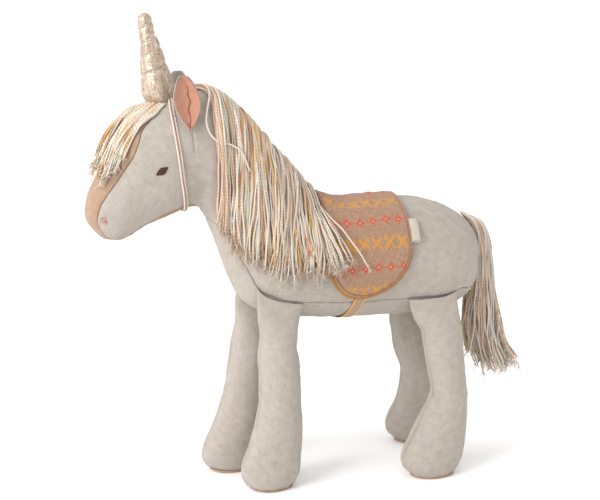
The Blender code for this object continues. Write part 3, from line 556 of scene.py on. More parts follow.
def leg_shape(rows, hip_y, foot_x, step, side):
    """A leg's outside: an ellipse at each row from the top, its angle running from the front seam
    round the outer side. The middle line leans from the hip to the foot, the flat top follows the
    under seam. A foot set forwards swings from the hip by 1 - share to a power, and one set back
    bends at the knee by a logistic step."""
    table = np.array(rows, float)
    table[:, 1:3] *= MM
    table[:, 3] *= LEG_HALF_WIDTH
    table[0, 3] = FLAT_TOP

    def shape(row, angle):
        row, angle = np.broadcast_arrays(np.asarray(row, float), np.asarray(angle, float))
        share, front, rear, half = np.moveaxis(spline(table, row), -1, 0)
        y = hip_y + (front + rear) / 2 - (rear - front) / 2 * np.cos(angle)
        seam_x, seam_z = hip_line(y, side)
        near_top = np.clip(share, 0, 1) ** 6
        middle_x, _ = hip_line(np.full_like(y, hip_y), side)
        x = side * foot_x + (middle_x - side * foot_x) * share + near_top * (seam_x - middle_x)
        z = HIP_HEIGHT * share + near_top * (seam_z - HIP_HEIGHT)
        x = x + side * half * np.sin(angle)
        back_share = 1 / (1 + np.exp((share - KNEE_SHARE) / KNEE_SOFTNESS))
        y = y + step * (back_share if step > 0 else 1 - np.clip(share, 0, 1) ** SWING_POWER)
        return np.stack([x, y, z], -1)

    return shape


def tube(paths, radius, sides=6, taper=1.0):
    """Tubes along many paths (count, steps, 3) at once. Each ring is a circle square to the path,
    carried along it without twist. Returns rings (count, steps, sides, 3)."""
    slope = np.gradient(paths, axis=1)
    slope /= np.maximum(np.linalg.norm(slope, axis=-1, keepdims=True), 1e-12)
    first = np.cross(slope[:, 0], [0.37, 0.61, 0.70])
    first /= np.linalg.norm(first, axis=-1, keepdims=True)
    across = [first]
    for k in range(1, paths.shape[1]):
        turned = across[-1] - slope[:, k] * (across[-1] * slope[:, k]).sum(-1, keepdims=True)
        across.append(turned / np.maximum(np.linalg.norm(turned, axis=-1, keepdims=True), 1e-12))
    across = np.stack(across, 1)
    third = np.cross(slope, across)
    angle = np.linspace(0, 2 * math.pi, sides, endpoint=False)
    steps = np.linspace(0, 1, paths.shape[1])
    size = np.asarray(radius, float).reshape(-1, 1) * (1 - (1 - taper) * steps ** 3)
    ring = across[:, :, None] * np.cos(angle)[:, None] + third[:, :, None] * np.sin(angle)[:, None]
    return paths[:, :, None] + ring * np.broadcast_to(size, paths.shape[:2])[:, :, None, None]


def threads(name, paths, radius, finish, tints=None, sides=6, taper=1.0):
    """Many closed threads as one mesh. Its UV map runs round each thread, from 0 to 1, and along it
    in metres, and each thread has its own tint."""
    rings = tube(paths, radius, sides, taper)
    count, steps = rings.shape[:2]
    points = np.concatenate([rings.reshape(count, -1, 3), paths[:, :1], paths[:, -1:]], axis=1)
    each = steps * sides + 2
    k, j = np.meshgrid(np.arange(steps - 1), np.arange(sides), indexing="ij")
    far = (j + 1) % sides
    quads = np.stack([k * sides + j, k * sides + far, (k + 1) * sides + far, (k + 1) * sides + j], -1)
    quads = quads.reshape(-1, 4)
    j = np.arange(sides)
    far = (j + 1) % sides
    caps = np.concatenate([np.stack([np.full(sides, each - 2), far, j], -1),
                           np.stack([np.full(sides, each - 1), (steps - 1) * sides + j,
                                     (steps - 1) * sides + far], -1)])
    base = np.arange(count)[:, None, None] * each
    loops = np.concatenate([(quads + base).reshape(count, -1), (caps + base).reshape(count, -1)], 1)
    sizes = np.concatenate([np.full(len(quads), 4), np.full(len(caps), 3)])
    starts = np.concatenate([[0], np.cumsum(np.tile(sizes, count))[:-1]])
    length = run_across(paths)
    round_it = np.tile(np.arange(sides) / sides, (count, steps, 1))
    along = np.repeat(length[:, :, None], sides, 2)
    place = np.concatenate([np.stack([round_it, along], -1).reshape(count, -1, 2),
                            np.stack([np.full((count, 2), 0.5), length[:, [0, -1]]], -1)], 1)
    if tints is not None:
        tints = np.repeat(tints, each, 0)
    return new_piece(name, points.reshape(-1, 3), loops, starts, place.reshape(-1, 2)[loops.ravel()],
                     tints, finish)


def stitched(line, normal, length, gap, height):
    """Short stitches along a line: each leaves the cloth, bridges its length and goes back in."""
    run = run_along(line)
    starts = np.arange(0, run[-1] - length, length + gap)
    share = np.linspace(0, 1, 6)
    place = starts[:, None] + share * length
    arch = (np.sin(math.pi * share) ** 0.5 - 0.35) * height
    points = np.stack([np.interp(place, run, line[:, k]) for k in range(3)], -1)
    ways = np.stack([np.interp(place, run, normal[:, k]) for k in range(3)], -1)
    return points + ways * arch[:, None]


def thread_material(name, pale, dark, turns=900.0, tinted=False, sheen=0.3, rough=0.85):
    """Twisted thread: slanting plies as they pass round it, with painted shade in the grooves between
    them, so its colour runs from dark there to pale on each ply's crest.
    """
    made, tree, shader = new_material(name)
    group = grouped(tree, plies, cloth_map(tree))
    group.inputs["Turns"].default_value = turns
    # Painted shade: the colour is dark in the grooves between the plies and pale on their crests.
    colour = mixed(tree, group.outputs["Height"], dark, pale)
    if tinted:
        colour = mixed(tree, 1.0, colour, tint_of(tree).outputs["Color"], "MULTIPLY")
    tree.links.new(colour, shader.inputs["Base Color"])
    shader.inputs["Roughness"].default_value = rough
    shader.inputs["Specular IOR Level"].default_value = 0.3
    shader.inputs["Sheen Weight"].default_value = sheen
    shader.inputs["Sheen Roughness"].default_value = 0.5
    raised_by(tree, shader, group.outputs["Height"], 0.6, 0.2 * MM)
    return made


plies, given, result = new_group(
    "twisted_plies", [("Vector", "NodeSocketVector", None), ("Turns", "NodeSocketFloat", 900.0)],
    [("Height", "NodeSocketFloat")])
apart = parted(plies, given.outputs["Vector"])
phase = sums(plies, "MULTIPLY_ADD", apart[1], given.outputs["Turns"],
             sums(plies, "MULTIPLY", apart[0], 2.0))
wave = sums(plies, "ABSOLUTE", sums(plies, "SINE", sums(plies, "MULTIPLY", phase, math.pi)))
hair = noise(plies, stretched(plies, given.outputs["Vector"], (8.0, 900.0, 1.0)), 1.0, 2)
plies.links.new(sums(plies, "MULTIPLY_ADD", hair, 0.35, sums(plies, "MULTIPLY", wave, 0.75)),
                result.inputs["Height"])
seam_thread = thread_material("seam_thread", (0.55, 0.46, 0.38, 1), (0.36, 0.28, 0.21, 1))

hinges = {joint["child"]: joint for joint in frame["joints"]}
feet = (("front", FRONT_LEG_ROWS, FRONT_HIP_Y, 28.7 * MM, -22 * MM, (0.775, math.pi)),
        ("rear", REAR_LEG_ROWS, FRONT_HIP_Y + HIP_SPACING, 46.3 * MM, 22 * MM, (0.80, 0)))
for side, side_name in ((1, "left"), (-1, "right")):
    for end, rows, hip_y, foot_x, right_step, (notch_share, notch_angle) in feet:
        name = f"{end}_{side_name}"
        step = right_step if side < 0 else 0.0
        shape = leg_shape(rows, hip_y, foot_x, step, side)
        last = len(rows) - 1
        places = np.linspace(0, last, 190)[:, None]
        seed = 60 + len(name) * 3 + (7 if side < 0 else 0)
        pivot = Vector(hinges[f"leg_{name}"]["pos_m"])
        for part, start in (("outer", 0.0), ("inner", math.pi)):
            half = np.abs(shape(places, math.pi / 2) - shape(places, 0))[..., 0]
            gap = np.arcsin(0.15 * MM / half)
            angles = start + gap + (math.pi - 2 * gap) * crowded(70)
            flat = shape(places, angles)
            run = run_across(flat)
            front_run, back_run = (run, run[:, -1:] - run) if start == 0 else (run[:, -1:] - run, run)
            share = spline(np.array(rows, float), places)[..., 0]
            firm = np.clip((1 - share) / 0.10, 0, 1)
            lift = 0.5 * MM * ripple(flat, 30 * MM, seed) + 0.16 * MM * ripple(flat, 11 * MM, seed + 1)
            for away in (front_run, back_run):
                lift = lift - 0.55 * MM * np.exp(-away / (0.5 * MM))
                lift = lift + 0.2 * MM * np.exp(-away / (5 * MM)) * ripple(flat, 6 * MM, seed + 2)
            ridge = np.exp(-((front_run - 2.6 * MM) / (0.8 * MM)) ** 2)
            lift = lift - 0.45 * MM * ridge * (1 + 0.3 * ripple(flat, 5 * MM, seed + 3))
            notch_run = back_run if notch_angle else front_run
            notch = np.exp(-((share - notch_share) * HIP_HEIGHT / (4.5 * MM)) ** 2)
            lift = lift - 2.6 * MM * notch * np.exp(-notch_run / (6 * MM))
            fan = ripple(flat * [1, 1, 0.25], 9 * MM, seed + 4) * np.exp(-(1 - share) / 0.07)
            lift = lift * firm + 0.35 * MM * fan * firm
            low = (share - 0.012) * HIP_HEIGHT
            lift = lift - 0.8 * MM * np.exp(-low / (1.2 * MM))
            gather = ripple(flat, 6 * MM, seed + 5) * np.exp(-low / (6 * MM))
            lift = lift + 0.35 * MM * gather
            points = lifted(shape, places, angles, lift, -side)
            inner = lifted(shape, places, angles, lift - 3 * MM, -side)
            skin = surface(f"leg_{part}_{name}_cloth", points, linen, behind=inner, wall=0.9 * MM)
            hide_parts(f"leg_{part}_{name}")
            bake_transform(skin)

        line_places = np.linspace(0.9, last - 0.5, 240)[:, None]
        half = np.abs(shape(line_places, math.pi / 2) - shape(line_places, 0))[..., 0]
        trial = np.linspace(0, 0.9, 60)[None, :]
        run = run_across(shape(line_places, trial))
        at = np.array([np.interp(2.6 * MM, r, trial[0]) for r in run])[:, None]
        line = lifted(shape, line_places, at, np.full(at.shape, -0.35 * MM), -side)[:, 0]
        normal = lifted(shape, line_places, at, np.full(at.shape, 1.0), -side) - shape(line_places, at)
        paths = stitched(line, normal[:, 0], 2.0 * MM, 1.0 * MM, 0.35 * MM)
        stitches = threads(f"leg_stitches_{name}", paths, 0.17 * MM, seam_thread, sides=5)
        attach(stitches, f"leg_{name}")

        outline = shape(last, np.linspace(0, 2 * math.pi, 72, endpoint=False))
        middle = outline.mean(0) * [1, 1, 0]
        spread = np.array([0.02, 0.35, 0.7, 0.9, 0.985, 1.012, 1.012, 0.985, 0.9, 0.5, 0.02])
        rise = np.array([0, 0, 0, 0, 0.25, 0.9, 1.7, 2.3, 2.7, 2.9, 2.9]) * MM
        rings = middle + (outline * [1, 1, 0] - middle) * spread[:, None, None]
        rings[..., 2] = rise[:, None]
        flat_uv = rings[..., :2] - middle[:2]
        flat_uv = np.concatenate([flat_uv, flat_uv[:, :1]], axis=1)
        rings[..., :2] += np.stack([ripple(rings, 7 * MM, seed + 6)] * 2, -1) * 0.15 * MM
        sole = surface(f"sole_{name}_cloth", rings, peach_linen, uv=flat_uv, wrap=True,
                       behind=np.zeros_like(rings) + middle + [0, 0, 1.4 * MM])
        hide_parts(f"sole_{name}")
        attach(sole, f"leg_{name}")

# ---- Horn ----------------------------------------------------------------------------------------
# A cone of cloth coated with crackled champagne foil, stuffed and sewn to the poll. A thread wound
# round it from the tip down draws it in along a spiral, so it bulges between the turns.
HORN_HEIGHT, HORN_LEAN = 77 * MM, 10.2 * DEG
HORN_FOOT = np.array([0, -139 * MM, HIP_HEIGHT + 182 * MM])
HORN_RADII = np.array([(10.9, 13.9, 13.9, 13.0, 11.6, 10.1, 8.8, 7.6, 6.6, 5.95, 5.45)]).T * MM
TIP_START, TIP_SPAN = 0.93, 0.07
GROOVE_SHARES, GROOVE_TURNS = (-0.2, 0.35, 0.545, 0.70, 0.844, 1.0), (-0.5, 1.08, 2.08, 3.08, 4.08, 5.28)


def horn_shape(share, angle):
    """A radius at each share of the height, drawn in where the winding thread passes and closed in a
    round tip, about an axis that leans forwards."""
    share, angle = np.broadcast_arrays(np.asarray(share, float), np.asarray(angle, float))
    turn = np.interp(share, GROOVE_SHARES, GROOVE_TURNS) - angle / (2 * math.pi)
    off = np.abs(turn - np.round(turn))
    drawn = 0.115 * np.exp(-(off / 0.11) ** 2) * np.clip((share - 0.24) / 0.1, 0, 1)
    tip = np.sqrt(np.clip(1 - (np.clip(share - TIP_START, 0, None) / TIP_SPAN) ** 2, 0, 1))
    radius = spline(HORN_RADII, np.clip(share, 0, 1) * 10)[..., 0] * (1.0 - drawn) * tip
    x, y, z = radius * np.sin(angle), -radius * np.cos(angle), share * HORN_HEIGHT
    return HORN_FOOT + np.stack([x, y * math.cos(HORN_LEAN) - z * math.sin(HORN_LEAN),
                                 y * math.sin(HORN_LEAN) + z * math.cos(HORN_LEAN)], -1)


gold, tree, shader = new_material("crackled_gold_cloth")
where = tree.nodes.new("ShaderNodeTexCoord").outputs["Object"]
cells = tree.nodes.new("ShaderNodeTexVoronoi")
cells.feature = "DISTANCE_TO_EDGE"
cells.inputs["Scale"].default_value = 1.0
warped = tree.nodes.new("ShaderNodeVectorMath")
warped.operation = "ADD"
tree.links.new(stretched(tree, where, (900, 900, 900)), warped.inputs[0])
shake = tree.nodes.new("ShaderNodeTexNoise")
shake.inputs["Scale"].default_value = 700.0
tree.links.new(where, shake.inputs["Vector"])
tree.links.new(shake.outputs["Color"], warped.inputs[1])
tree.links.new(warped.outputs[0], cells.inputs["Vector"])
worn = noise(tree, where, 330, 4, 0.65)
grain = noise(tree, where, 1500, 2, 0.6)
crack = sums(tree, "LESS_THAN", cells.outputs["Distance"], sums(tree, "MULTIPLY", worn, 0.16))
rubbed = sums(tree, "MULTIPLY", sums(tree, "MAXIMUM", sums(tree, "SUBTRACT", worn, 0.56), 0.0), 9.0)
bare = sums(tree, "MINIMUM", sums(tree, "MULTIPLY_ADD", crack, 0.75, rubbed), 1.0)
facets = tree.nodes.new("ShaderNodeTexVoronoi")
facets.inputs["Scale"].default_value = 1500.0
tree.links.new(where, facets.inputs["Vector"])
# Partly the foil's grain, mostly painted glints: each tiny facet is lighter or darker at random, as if it
# caught the light, from dark brown to near white gold.
painted_glint = sums(tree, "MULTIPLY_ADD", grain, 0.5, sums(tree, "MULTIPLY", facets.outputs["Color"], 0.6))
colour = mixed(tree, painted_glint, (0.25, 0.165, 0.11, 1), (0.97, 0.81, 0.64, 1))
tree.links.new(mixed(tree, bare, colour, (0.21, 0.155, 0.115, 1)), shader.inputs["Base Color"])
tree.links.new(sums(tree, "MULTIPLY_ADD", bare, -0.75, 0.92), shader.inputs["Metallic"])
tree.links.new(sums(tree, "MULTIPLY_ADD", bare, 0.3, sums(tree, "MULTIPLY_ADD", grain, 0.22, 0.20)),
               shader.inputs["Roughness"])
raised_by(tree, shader, sums(tree, "SUBTRACT", grain, bare), 0.55, 0.3 * MM)

over_tip = TIP_START + TIP_SPAN * np.sin(np.linspace(0.06, 1, 26) * math.pi / 2)
shares = np.concatenate([np.linspace(-0.16, TIP_START, 190), over_tip])[:, None]
angles = np.linspace(0, 2 * math.pi, 110, endpoint=False)
flat = horn_shape(shares, angles)
creased = ripple(flat * [1, 1, 0.35], 5 * MM, 31) * 0.16 * MM + ripple(flat, 12 * MM, 32) * 0.25 * MM
creased = creased * np.clip((0.995 - shares) / 0.03, 0, 1)
points = lifted(horn_shape, shares, angles, creased)
points[-1] = points[-1].mean(0)
axis_points = points.mean(1, keepdims=True) + 0 * points
horn = surface("horn_cloth", points, gold, wrap=True, behind=axis_points)
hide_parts("horn_skin")
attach(horn, "body")

turn = np.linspace(1.0, 4.6, 420)
line = lifted(horn_shape, np.interp(turn, GROOVE_TURNS, GROOVE_SHARES), 2 * math.pi * turn,
              np.full(len(turn), 0.05 * MM))
gold_thread = thread_material("gold_thread", (0.62, 0.50, 0.38, 1), (0.34, 0.26, 0.18, 1), 1500.0)
winding = threads("horn_winding", line[None], 0.22 * MM, gold_thread, sides=6)
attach(winding, "body")

# ---- Ears ----------------------------------------------------------------------------------------
# Each ear is a leaf of linen lined with dusty pink cotton, folded lengthwise with its hollow outwards
# and sewn at its foot into a slit in the head. Painted shade darkens the lining in a line along the fold's
# crease.
EAR_LENGTH, EAR_HALF_WIDTH, EAR_FOLD, EAR_LEAN, EAR_RIM = 46 * MM, 12 * MM, 5 * MM, 10 * MM, 1.1 * MM
pink_cotton = cloth_material("pink_cotton", (0.47, 0.230, 0.160, 1), (0.38, 0.175, 0.120, 1),
                             (0.40, 0.16, 0.12, 1), bump=0.3, fleck_share=0.1)
tree = pink_cotton.node_tree
base = tree.nodes["Principled BSDF"].inputs["Base Color"]
before = base.links[0].from_socket
# Painted shade: where the lining's tint is high, along the fold's crease, its colour turns deep brown.
tree.links.new(mixed(tree, tint_of(tree).outputs["Fac"], before, (0.13, 0.045, 0.025, 1)), base)


def coat_place(y, z):
    """Station and angle of the left side's point with this y and z."""
    station, angle = np.meshgrid(np.linspace(0.5, 23, 451), np.linspace(0.02, 3.1, 309))
    points = coat(station, angle)
    best = np.argmin((points[..., 1] - y) ** 2 + (points[..., 2] - z) ** 2)
    return station.flat[best], angle.flat[best]


def ear_shape(side, along, across, inset):
    """A leaf from foot to tip: its half width is a power of a sine, and it is folded to a depth of
    one minus across squared, and leans in over the head towards the tip."""
    foot = np.array([0, -121 * MM + (6 * MM if side < 0 else 0), HIP_HEIGHT + 160 * MM])
    station, angle = coat_place(foot[1], foot[2])
    foot = lifted(coat, station, angle, 1.7 * MM)
    half = EAR_HALF_WIDTH * np.sin(math.pi * (0.03 + 0.94 * along) ** 1.12) ** (0.95 - 0.4 * along)
    half = np.maximum(half - inset, 0.6 * MM)
    depth = EAR_FOLD * (1 - across**2) * np.sin(math.pi * (0.15 + 0.7 * along))
    x = foot[0] - 1.5 * MM + EAR_FOLD - EAR_LEAN * along**1.6 - depth
    y = foot[1] - across * half - 3 * MM * along
    z = foot[2] + inset + along * (EAR_LENGTH - 2 * inset)
    return np.stack(np.broadcast_arrays(side * x, y, z), -1)


for side, side_name in ((1, "left"), (-1, "right")):
    along, across = np.linspace(0, 1, 110)[:, None], np.linspace(-1, 1, 80)
    shift = np.array([side, 0, 0])
    linen_side = ear_shape(side, along, across, 0.0)
    linen_side = linen_side + shift * (ripple(linen_side, 16 * MM, 41) * 0.5 * MM)[..., None]
    backing = surface(f"ear_back_{side_name}", linen_side - shift * 0.2 * MM, linen,
                      behind=linen_side + shift * 4 * MM, wall=0.9 * MM)
    path = -0.20 + 0.12 * np.sin(6.5 * along + 0.4) * along + 0.06 * np.sin(21 * along)
    fold = 0.8 * np.exp(-np.abs(across - path) / 0.085) * np.sin(math.pi * np.clip(along * 1.02, 0, 1)) ** 0.3
    cotton_side = ear_shape(side, along, across, EAR_RIM)
    puffed = 1.2 * MM * (1 - across**2) ** 0.5 * (1 - fold)
    puffed = puffed + ripple(cotton_side, 8 * MM, 43) * 0.35 * MM * (1 - across**4)
    puffed = puffed - 0.8 * MM * np.exp(-((along - 0.76 + 0.10 * across) / 0.02) ** 2) * (
        np.exp(-((across + 0.25) / 0.35) ** 2))
    cotton_side = cotton_side + shift * (1.15 * MM + puffed)[..., None]
    # Painted shade along the crease, fading out towards the tip; the lining carries it as its tint.
    painted_crease_shade = np.clip(1.15 * np.exp(-(np.abs(across - path) / 0.05) ** 1.5) - 0.1, 0, 1) * np.clip(
        (0.9 - along) / 0.1, 0, 1)
    lining = surface(f"ear_lining_{side_name}_cotton", cotton_side, pink_cotton,
                     behind=cotton_side - shift * 4 * MM, wall=0.7 * MM,
                     colours=painted_crease_shade[..., None] * np.ones(4))
    for piece, node, slot in ((backing, "outer", "linen"), (lining, "lining", "pink_cotton")):
        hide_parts(f"ear_{node}_{side_name}")
        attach(piece, f"ear_{side_name}")

# ---- Eyes, nostrils and throat knot --------------------------------------------------------------
# The eyes are satin stitch in dark brown silk over a low pad, slanted and pointed at both corners.
# Each nostril is a thick knot of pink thread pulled into the cheek, and a small knot of the seam
# thread ends the seam under the throat.
silk = thread_material("brown_silk", (0.085, 0.032, 0.020, 1), (0.022, 0.009, 0.006, 1), 700.0,
                       sheen=0.1, rough=0.42)
pink_thread = thread_material("pink_thread", (0.55, 0.26, 0.18, 1), (0.30, 0.10, 0.06, 1), 900.0)
EYE_LENGTH, EYE_HEIGHT, EYE_TILT = 12.0 * MM, 6.2 * MM, 30 * DEG


def on_cheek(place, side, forwards):
    """A place on the coat seen from the side, with its directions forwards, across and out."""
    station, angle = coat_place(place[1], place[2])
    here = lifted(coat, station, side * angle, 0.0)
    out = lifted(coat, station, side * angle, 1.0) - here
    across = np.cross(out, forwards)
    across /= np.linalg.norm(across)
    return here, np.cross(across, out), across, out


for side, side_name in ((1, "left"), (-1, "right")):
    here, along, across, out = on_cheek(EYE_PLACE, side, (0, -math.cos(EYE_TILT), -math.sin(EYE_TILT)))
    rng = np.random.default_rng(5)
    u = np.linspace(-0.97, 0.97, 34)[:, None]
    v = np.linspace(-1, 1, 9)
    tall = EYE_HEIGHT / 2 * (1 - np.abs(u) ** 1.05) ** 0.8 * (1 + rng.normal(0, 0.05, u.shape)) + 0.15 * MM
    bend = EYE_LENGTH / 2 * EYE_LENGTH / 2 * u**2 / (60 * MM)
    high = 0.75 * MM * np.sqrt(np.clip(1 - v**2, 0, 1)) * (1 - 0.5 * u**2) - bend
    paths = (here + along * (u * EYE_LENGTH / 2 + 0.5 * MM * v * (0.4 - u * 0.3))[..., None]
             + across * (tall * v)[..., None] + out * (high - 0.15 * MM)[..., None])
    eye = threads(f"eye_{side_name}_stitches", paths, 0.26 * MM, silk, sides=6)
    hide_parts(f"eye_{side_name}")
    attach(eye, "body")

    here, along, across, out = on_cheek(NOSTRIL_PLACE, side, (0, -1.0, 0))
    t = np.linspace(0, 2 * math.pi * 1.9, 70)
    wide = 1.25 * MM * (1 - 0.75 * (t / t[-1]) ** 3)
    high = -0.9 * MM + 1.1 * MM * t / t[-1]
    path = here + along * (wide * np.cos(t))[:, None] + across * (wide * np.sin(t))[:, None] + (
        out * high[:, None])
    knot = threads(f"nostril_{side_name}_knot", path[None], 0.72 * MM, pink_thread, sides=9)
    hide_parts(f"nostril_{side_name}")
    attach(knot, "body")

    here, along, across, out = on_cheek((0, -104 * MM, 265 * MM), side, (0, -1.0, 0))
    t = np.linspace(0, 2 * math.pi * 1.3, 30)
    path = here + (along * np.cos(t)[:, None] + across * np.sin(t)[:, None]) * 0.45 * MM + (
        out * (t[:, None] / t[-1] * 0.3 * MM))
    knot = threads(f"throat_knot_{side_name}", path[None], 0.25 * MM, seam_thread, sides=6)
    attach(knot, "body")

# ---- Bridle --------------------------------------------------------------------------------------
# Two soft white cords lie side by side with a copper thread plaited over and under between them.
# The braid runs from the horn's foot in front of each ear down the cheeks and under the jaw.
BRIDLE_TOP = 20 * DEG
BRIDLE_ANGLES, BRIDLE_STATIONS = (18, 41, 75, 111, 147, 180), (7.30, 7.16, 6.99, 6.80, 6.76, 6.75)
white_cord = thread_material("white_cord", (0.70, 0.65, 0.60, 1), (0.40, 0.35, 0.30, 1), 420.0)
copper = thread_material("copper_thread", (0.74, 0.40, 0.24, 1), (0.36, 0.16, 0.08, 1), 1200.0, rough=0.35)
copper.node_tree.nodes["Principled BSDF"].inputs["Metallic"].default_value = 0.6
angles = np.linspace(BRIDLE_TOP, 2 * math.pi - BRIDLE_TOP, 900)
stations_at = np.interp(np.minimum(angles, 2 * math.pi - angles) / DEG, BRIDLE_ANGLES, BRIDLE_STATIONS)
middle = lifted(coat, stations_at, angles, np.full(900, 1.0 * MM))
out = lifted(coat, stations_at, angles, np.full(900, 1.0)) - coat(stations_at, angles)
slope = np.gradient(middle, axis=0)
slope /= np.linalg.norm(slope, axis=1, keepdims=True)
across = np.cross(out, slope)
run = run_along(middle)
beat = 2 * math.pi * run / (4.2 * MM)
cords = np.stack([middle + across * (sign * (1.25 + 0.16 * np.cos(beat)) * MM)[:, None]
                  + out * (sign * 0.12 * MM * np.sin(beat))[:, None] for sign in (-1, 1)])
plait = middle + across * (1.25 * MM * np.sin(beat))[:, None] + (
    out * (0.55 * MM + 0.45 * MM * np.cos(2 * beat))[:, None])
bridle = threads("bridle_cords", cords, 0.80 * MM, white_cord, sides=9)
copper_plait = threads("bridle_copper_thread", plait[None], 0.40 * MM, copper, sides=6)
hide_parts("bridle_braid")
for piece in (bridle, copper_plait):
    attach(piece, "body")

# ---- Mane, forelock and tail ---------------------------------------------------------------------
# Hundreds of strands of twisted cotton yarn, mostly cream, with beige, mustard, rust, pale pink and
# a little pale blue. They are sewn down by one end, hang loose in locks, and fray where they are cut.
YARN_RADIUS = 0.80 * MM
YARN_TINTS = np.array([(0.93, 0.86, 0.77, 1), (0.80, 0.66, 0.53, 1), (0.70, 0.50, 0.36, 1),
                       (0.86, 0.50, 0.14, 1), (0.70, 0.33, 0.14, 1), (0.90, 0.62, 0.50, 1),
                       (0.66, 0.76, 0.74, 1)])
YARN_SHARES = np.array([0.46, 0.19, 0.10, 0.10, 0.05, 0.06, 0.04])
cotton = thread_material("cotton_yarn", (0.80, 0.78, 0.75, 1), (0.36, 0.31, 0.26, 1), 330.0, tinted=True)


def tints_for(count, rng):
    """One tint for each strand, a little lighter or darker than the dye."""
    kind = rng.choice(len(YARN_TINTS), count, p=YARN_SHARES / YARN_SHARES.sum())
    return YARN_TINTS[kind] * (1 + rng.normal(0, 0.04, (count, 1))).clip(0.85, 1.1)


def frayed(paths, tints, rng, count=5, length=3.6 * MM, spread=0.45):
    """The loose fibres of each strand's cut end, spreading from its last point."""
    tip = paths[:, -1]
    way = tip - paths[:, -3]
    way /= np.linalg.norm(way, axis=1, keepdims=True)
    ways = way[:, None] + rng.normal(0, spread, (len(paths), count, 3))
    curl = rng.normal(0, 0.5, (len(paths), count, 3))
    t = np.linspace(-0.25, 1, 5)[:, None]
    reach = (length * rng.uniform(0.5, 1.3, (len(paths), count)))[..., None, None]
    fibres = tip[:, None, None] + (ways[:, :, None] * t + curl[:, :, None] * np.clip(t, 0, 1) ** 2) * reach
    return fibres.reshape(-1, 5, 3), np.repeat(tints, count, 0)


def lock_of_yarn(name, node, body, paths, tints, rng, sewn=None):
    """Strands and their frayed ends, as two pieces that stand for one CAD node. The ends join the body,
    and so do the strands unless a seam is given: then they stay apart where they are, and the seam's two
    points are not used."""
    strands = threads(name, paths, YARN_RADIUS * rng.uniform(0.85, 1.15, len(paths)), cotton, tints,
                      sides=6, taper=0.9)
    loose, loose_tints = frayed(paths, tints, rng)
    loose[..., 2] = np.maximum(loose[..., 2], 1 * MM)
    ends = threads(f"{name}_ends", loose, 0.24 * MM, cotton, loose_tints, sides=4)
    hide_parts(node)
    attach(ends, body)
    if sewn is None:
        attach(strands, body)
    else:
        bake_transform(strands)


MANE_ROOTS, MANE_OVER = (8.3, 9.1, 9.8, 10.6, 11.4, 12.1, 12.8), -9 * DEG
MANE_END_STATIONS = (10.2, 11.0, 11.8, 12.6, 13.4, 14.3, 15.2)
MANE_END_ANGLES = (138, 133, 123, 116, 107, 97, 89)
turns = np.linspace(-10, 160, 86) * DEG
side_stations, side_turns = np.meshgrid(np.linspace(7.5, 17.5, 500), turns, indexing="ij")
side_y = np.maximum.accumulate(coat(side_stations, side_turns)[..., 1], axis=0)


def hanging_stations(root, end, drop, angles):
    """Stations at these angles of strands that look straight from the side: y runs evenly from the
    root to the end as the height, 1 - the cosine of the angle, goes from its first value to its last."""
    first, last = coat(root, np.full(len(root), MANE_OVER))[:, 1], coat(end, drop)[:, 1]
    share = (1 - np.cos(turns - MANE_OVER)) / (1 - np.cos(drop[:, None] - MANE_OVER))
    y = first[:, None] + (last - first)[:, None] * share
    table = np.stack([np.interp(y[:, k], side_y[:, k], side_stations[:, 0])
                      for k in range(len(turns))], 1)
    at = np.clip((angles - turns[0]) / (turns[1] - turns[0]), 0, len(turns) - 1.001)
    low = at.astype(int)
    below, above = (np.take_along_axis(table, place, 1) for place in (low, low + 1))
    return below * (1 - at + low) + above * (at - low)


rng = np.random.default_rng(8)
count, steps, locks = 570, 28, 26
root = rng.uniform(MANE_ROOTS[0], MANE_ROOTS[-1], count)
layer = rng.uniform(0, 1, count)
lock = ((root - MANE_ROOTS[0]) / (MANE_ROOTS[-1] - MANE_ROOTS[0]) * locks).astype(int).clip(0, locks - 1)
lock_middle = MANE_ROOTS[0] + (lock + 0.5) / locks * (MANE_ROOTS[-1] - MANE_ROOTS[0])
t = np.linspace(0, 1, steps)
gathered = root + (lock_middle - root) * 0.45 + rng.normal(0, 0.16, count) + rng.normal(0, 0.08, locks)[lock]
end = np.interp(gathered, MANE_ROOTS, MANE_END_STATIONS)
crossing = rng.uniform(0, 1, count) < 0.16
end = end + rng.normal(0, 0.45, count) * crossing
drop = np.interp(gathered, MANE_ROOTS, MANE_END_ANGLES) + rng.normal(0, 3.0, locks)[lock]
drop = (drop + rng.normal(0, 5.5, count) - 5 + 3 * layer) * DEG
angles = MANE_OVER + (drop[:, None] - MANE_OVER) * t**1.1
stations = hanging_stations(np.maximum(root, 8.9), end, drop, angles)
stations += np.minimum(root - 8.9, 0)[:, None] * np.exp(-(t / 0.13) ** 2)
rise = np.clip(t / 0.07, 0, 1) ** 0.6 * (1 - 0.2 * t) * (0.5 + 0.5 * np.clip(t / 0.3, 0, 1))
lift = (1.1 * MM + (6.8 * MM * layer)[:, None]) * rise + 5 * MM * np.clip((stations - 13.4) / 0.9, 0, 1)
points = lifted(coat, stations, angles, lift)
lock_phase, own_phase = rng.uniform(0, 6.28, (2, locks))[:, lock], rng.uniform(0, 6.28, (3, count))
sway = 2.0 * MM * np.sin(2 * math.pi * 0.9 * t + lock_phase[0][:, None]) * t
sway = sway + (rng.uniform(0.4, 2.4, count) * MM)[:, None] * np.sin(
    2 * math.pi * rng.uniform(0.9, 2.2, (count, 1)) * t + own_phase[0][:, None]) * t**0.7
sway = sway + 0.45 * MM * np.sin(2 * math.pi * 5.3 * t + own_phase[2][:, None]) * t
points[..., 1] += sway
bulge = 0.8 * MM * np.sin(2 * math.pi * 1.7 * t + own_phase[1][:, None]) + (
    1.2 * MM * np.sin(2 * math.pi * 0.9 * t + lock_phase[1][:, None]) + 1.2 * MM)
points[..., 0] += bulge * np.clip(t * 2.5 - 0.3, 0, 1) * (0.35 + layer[:, None])
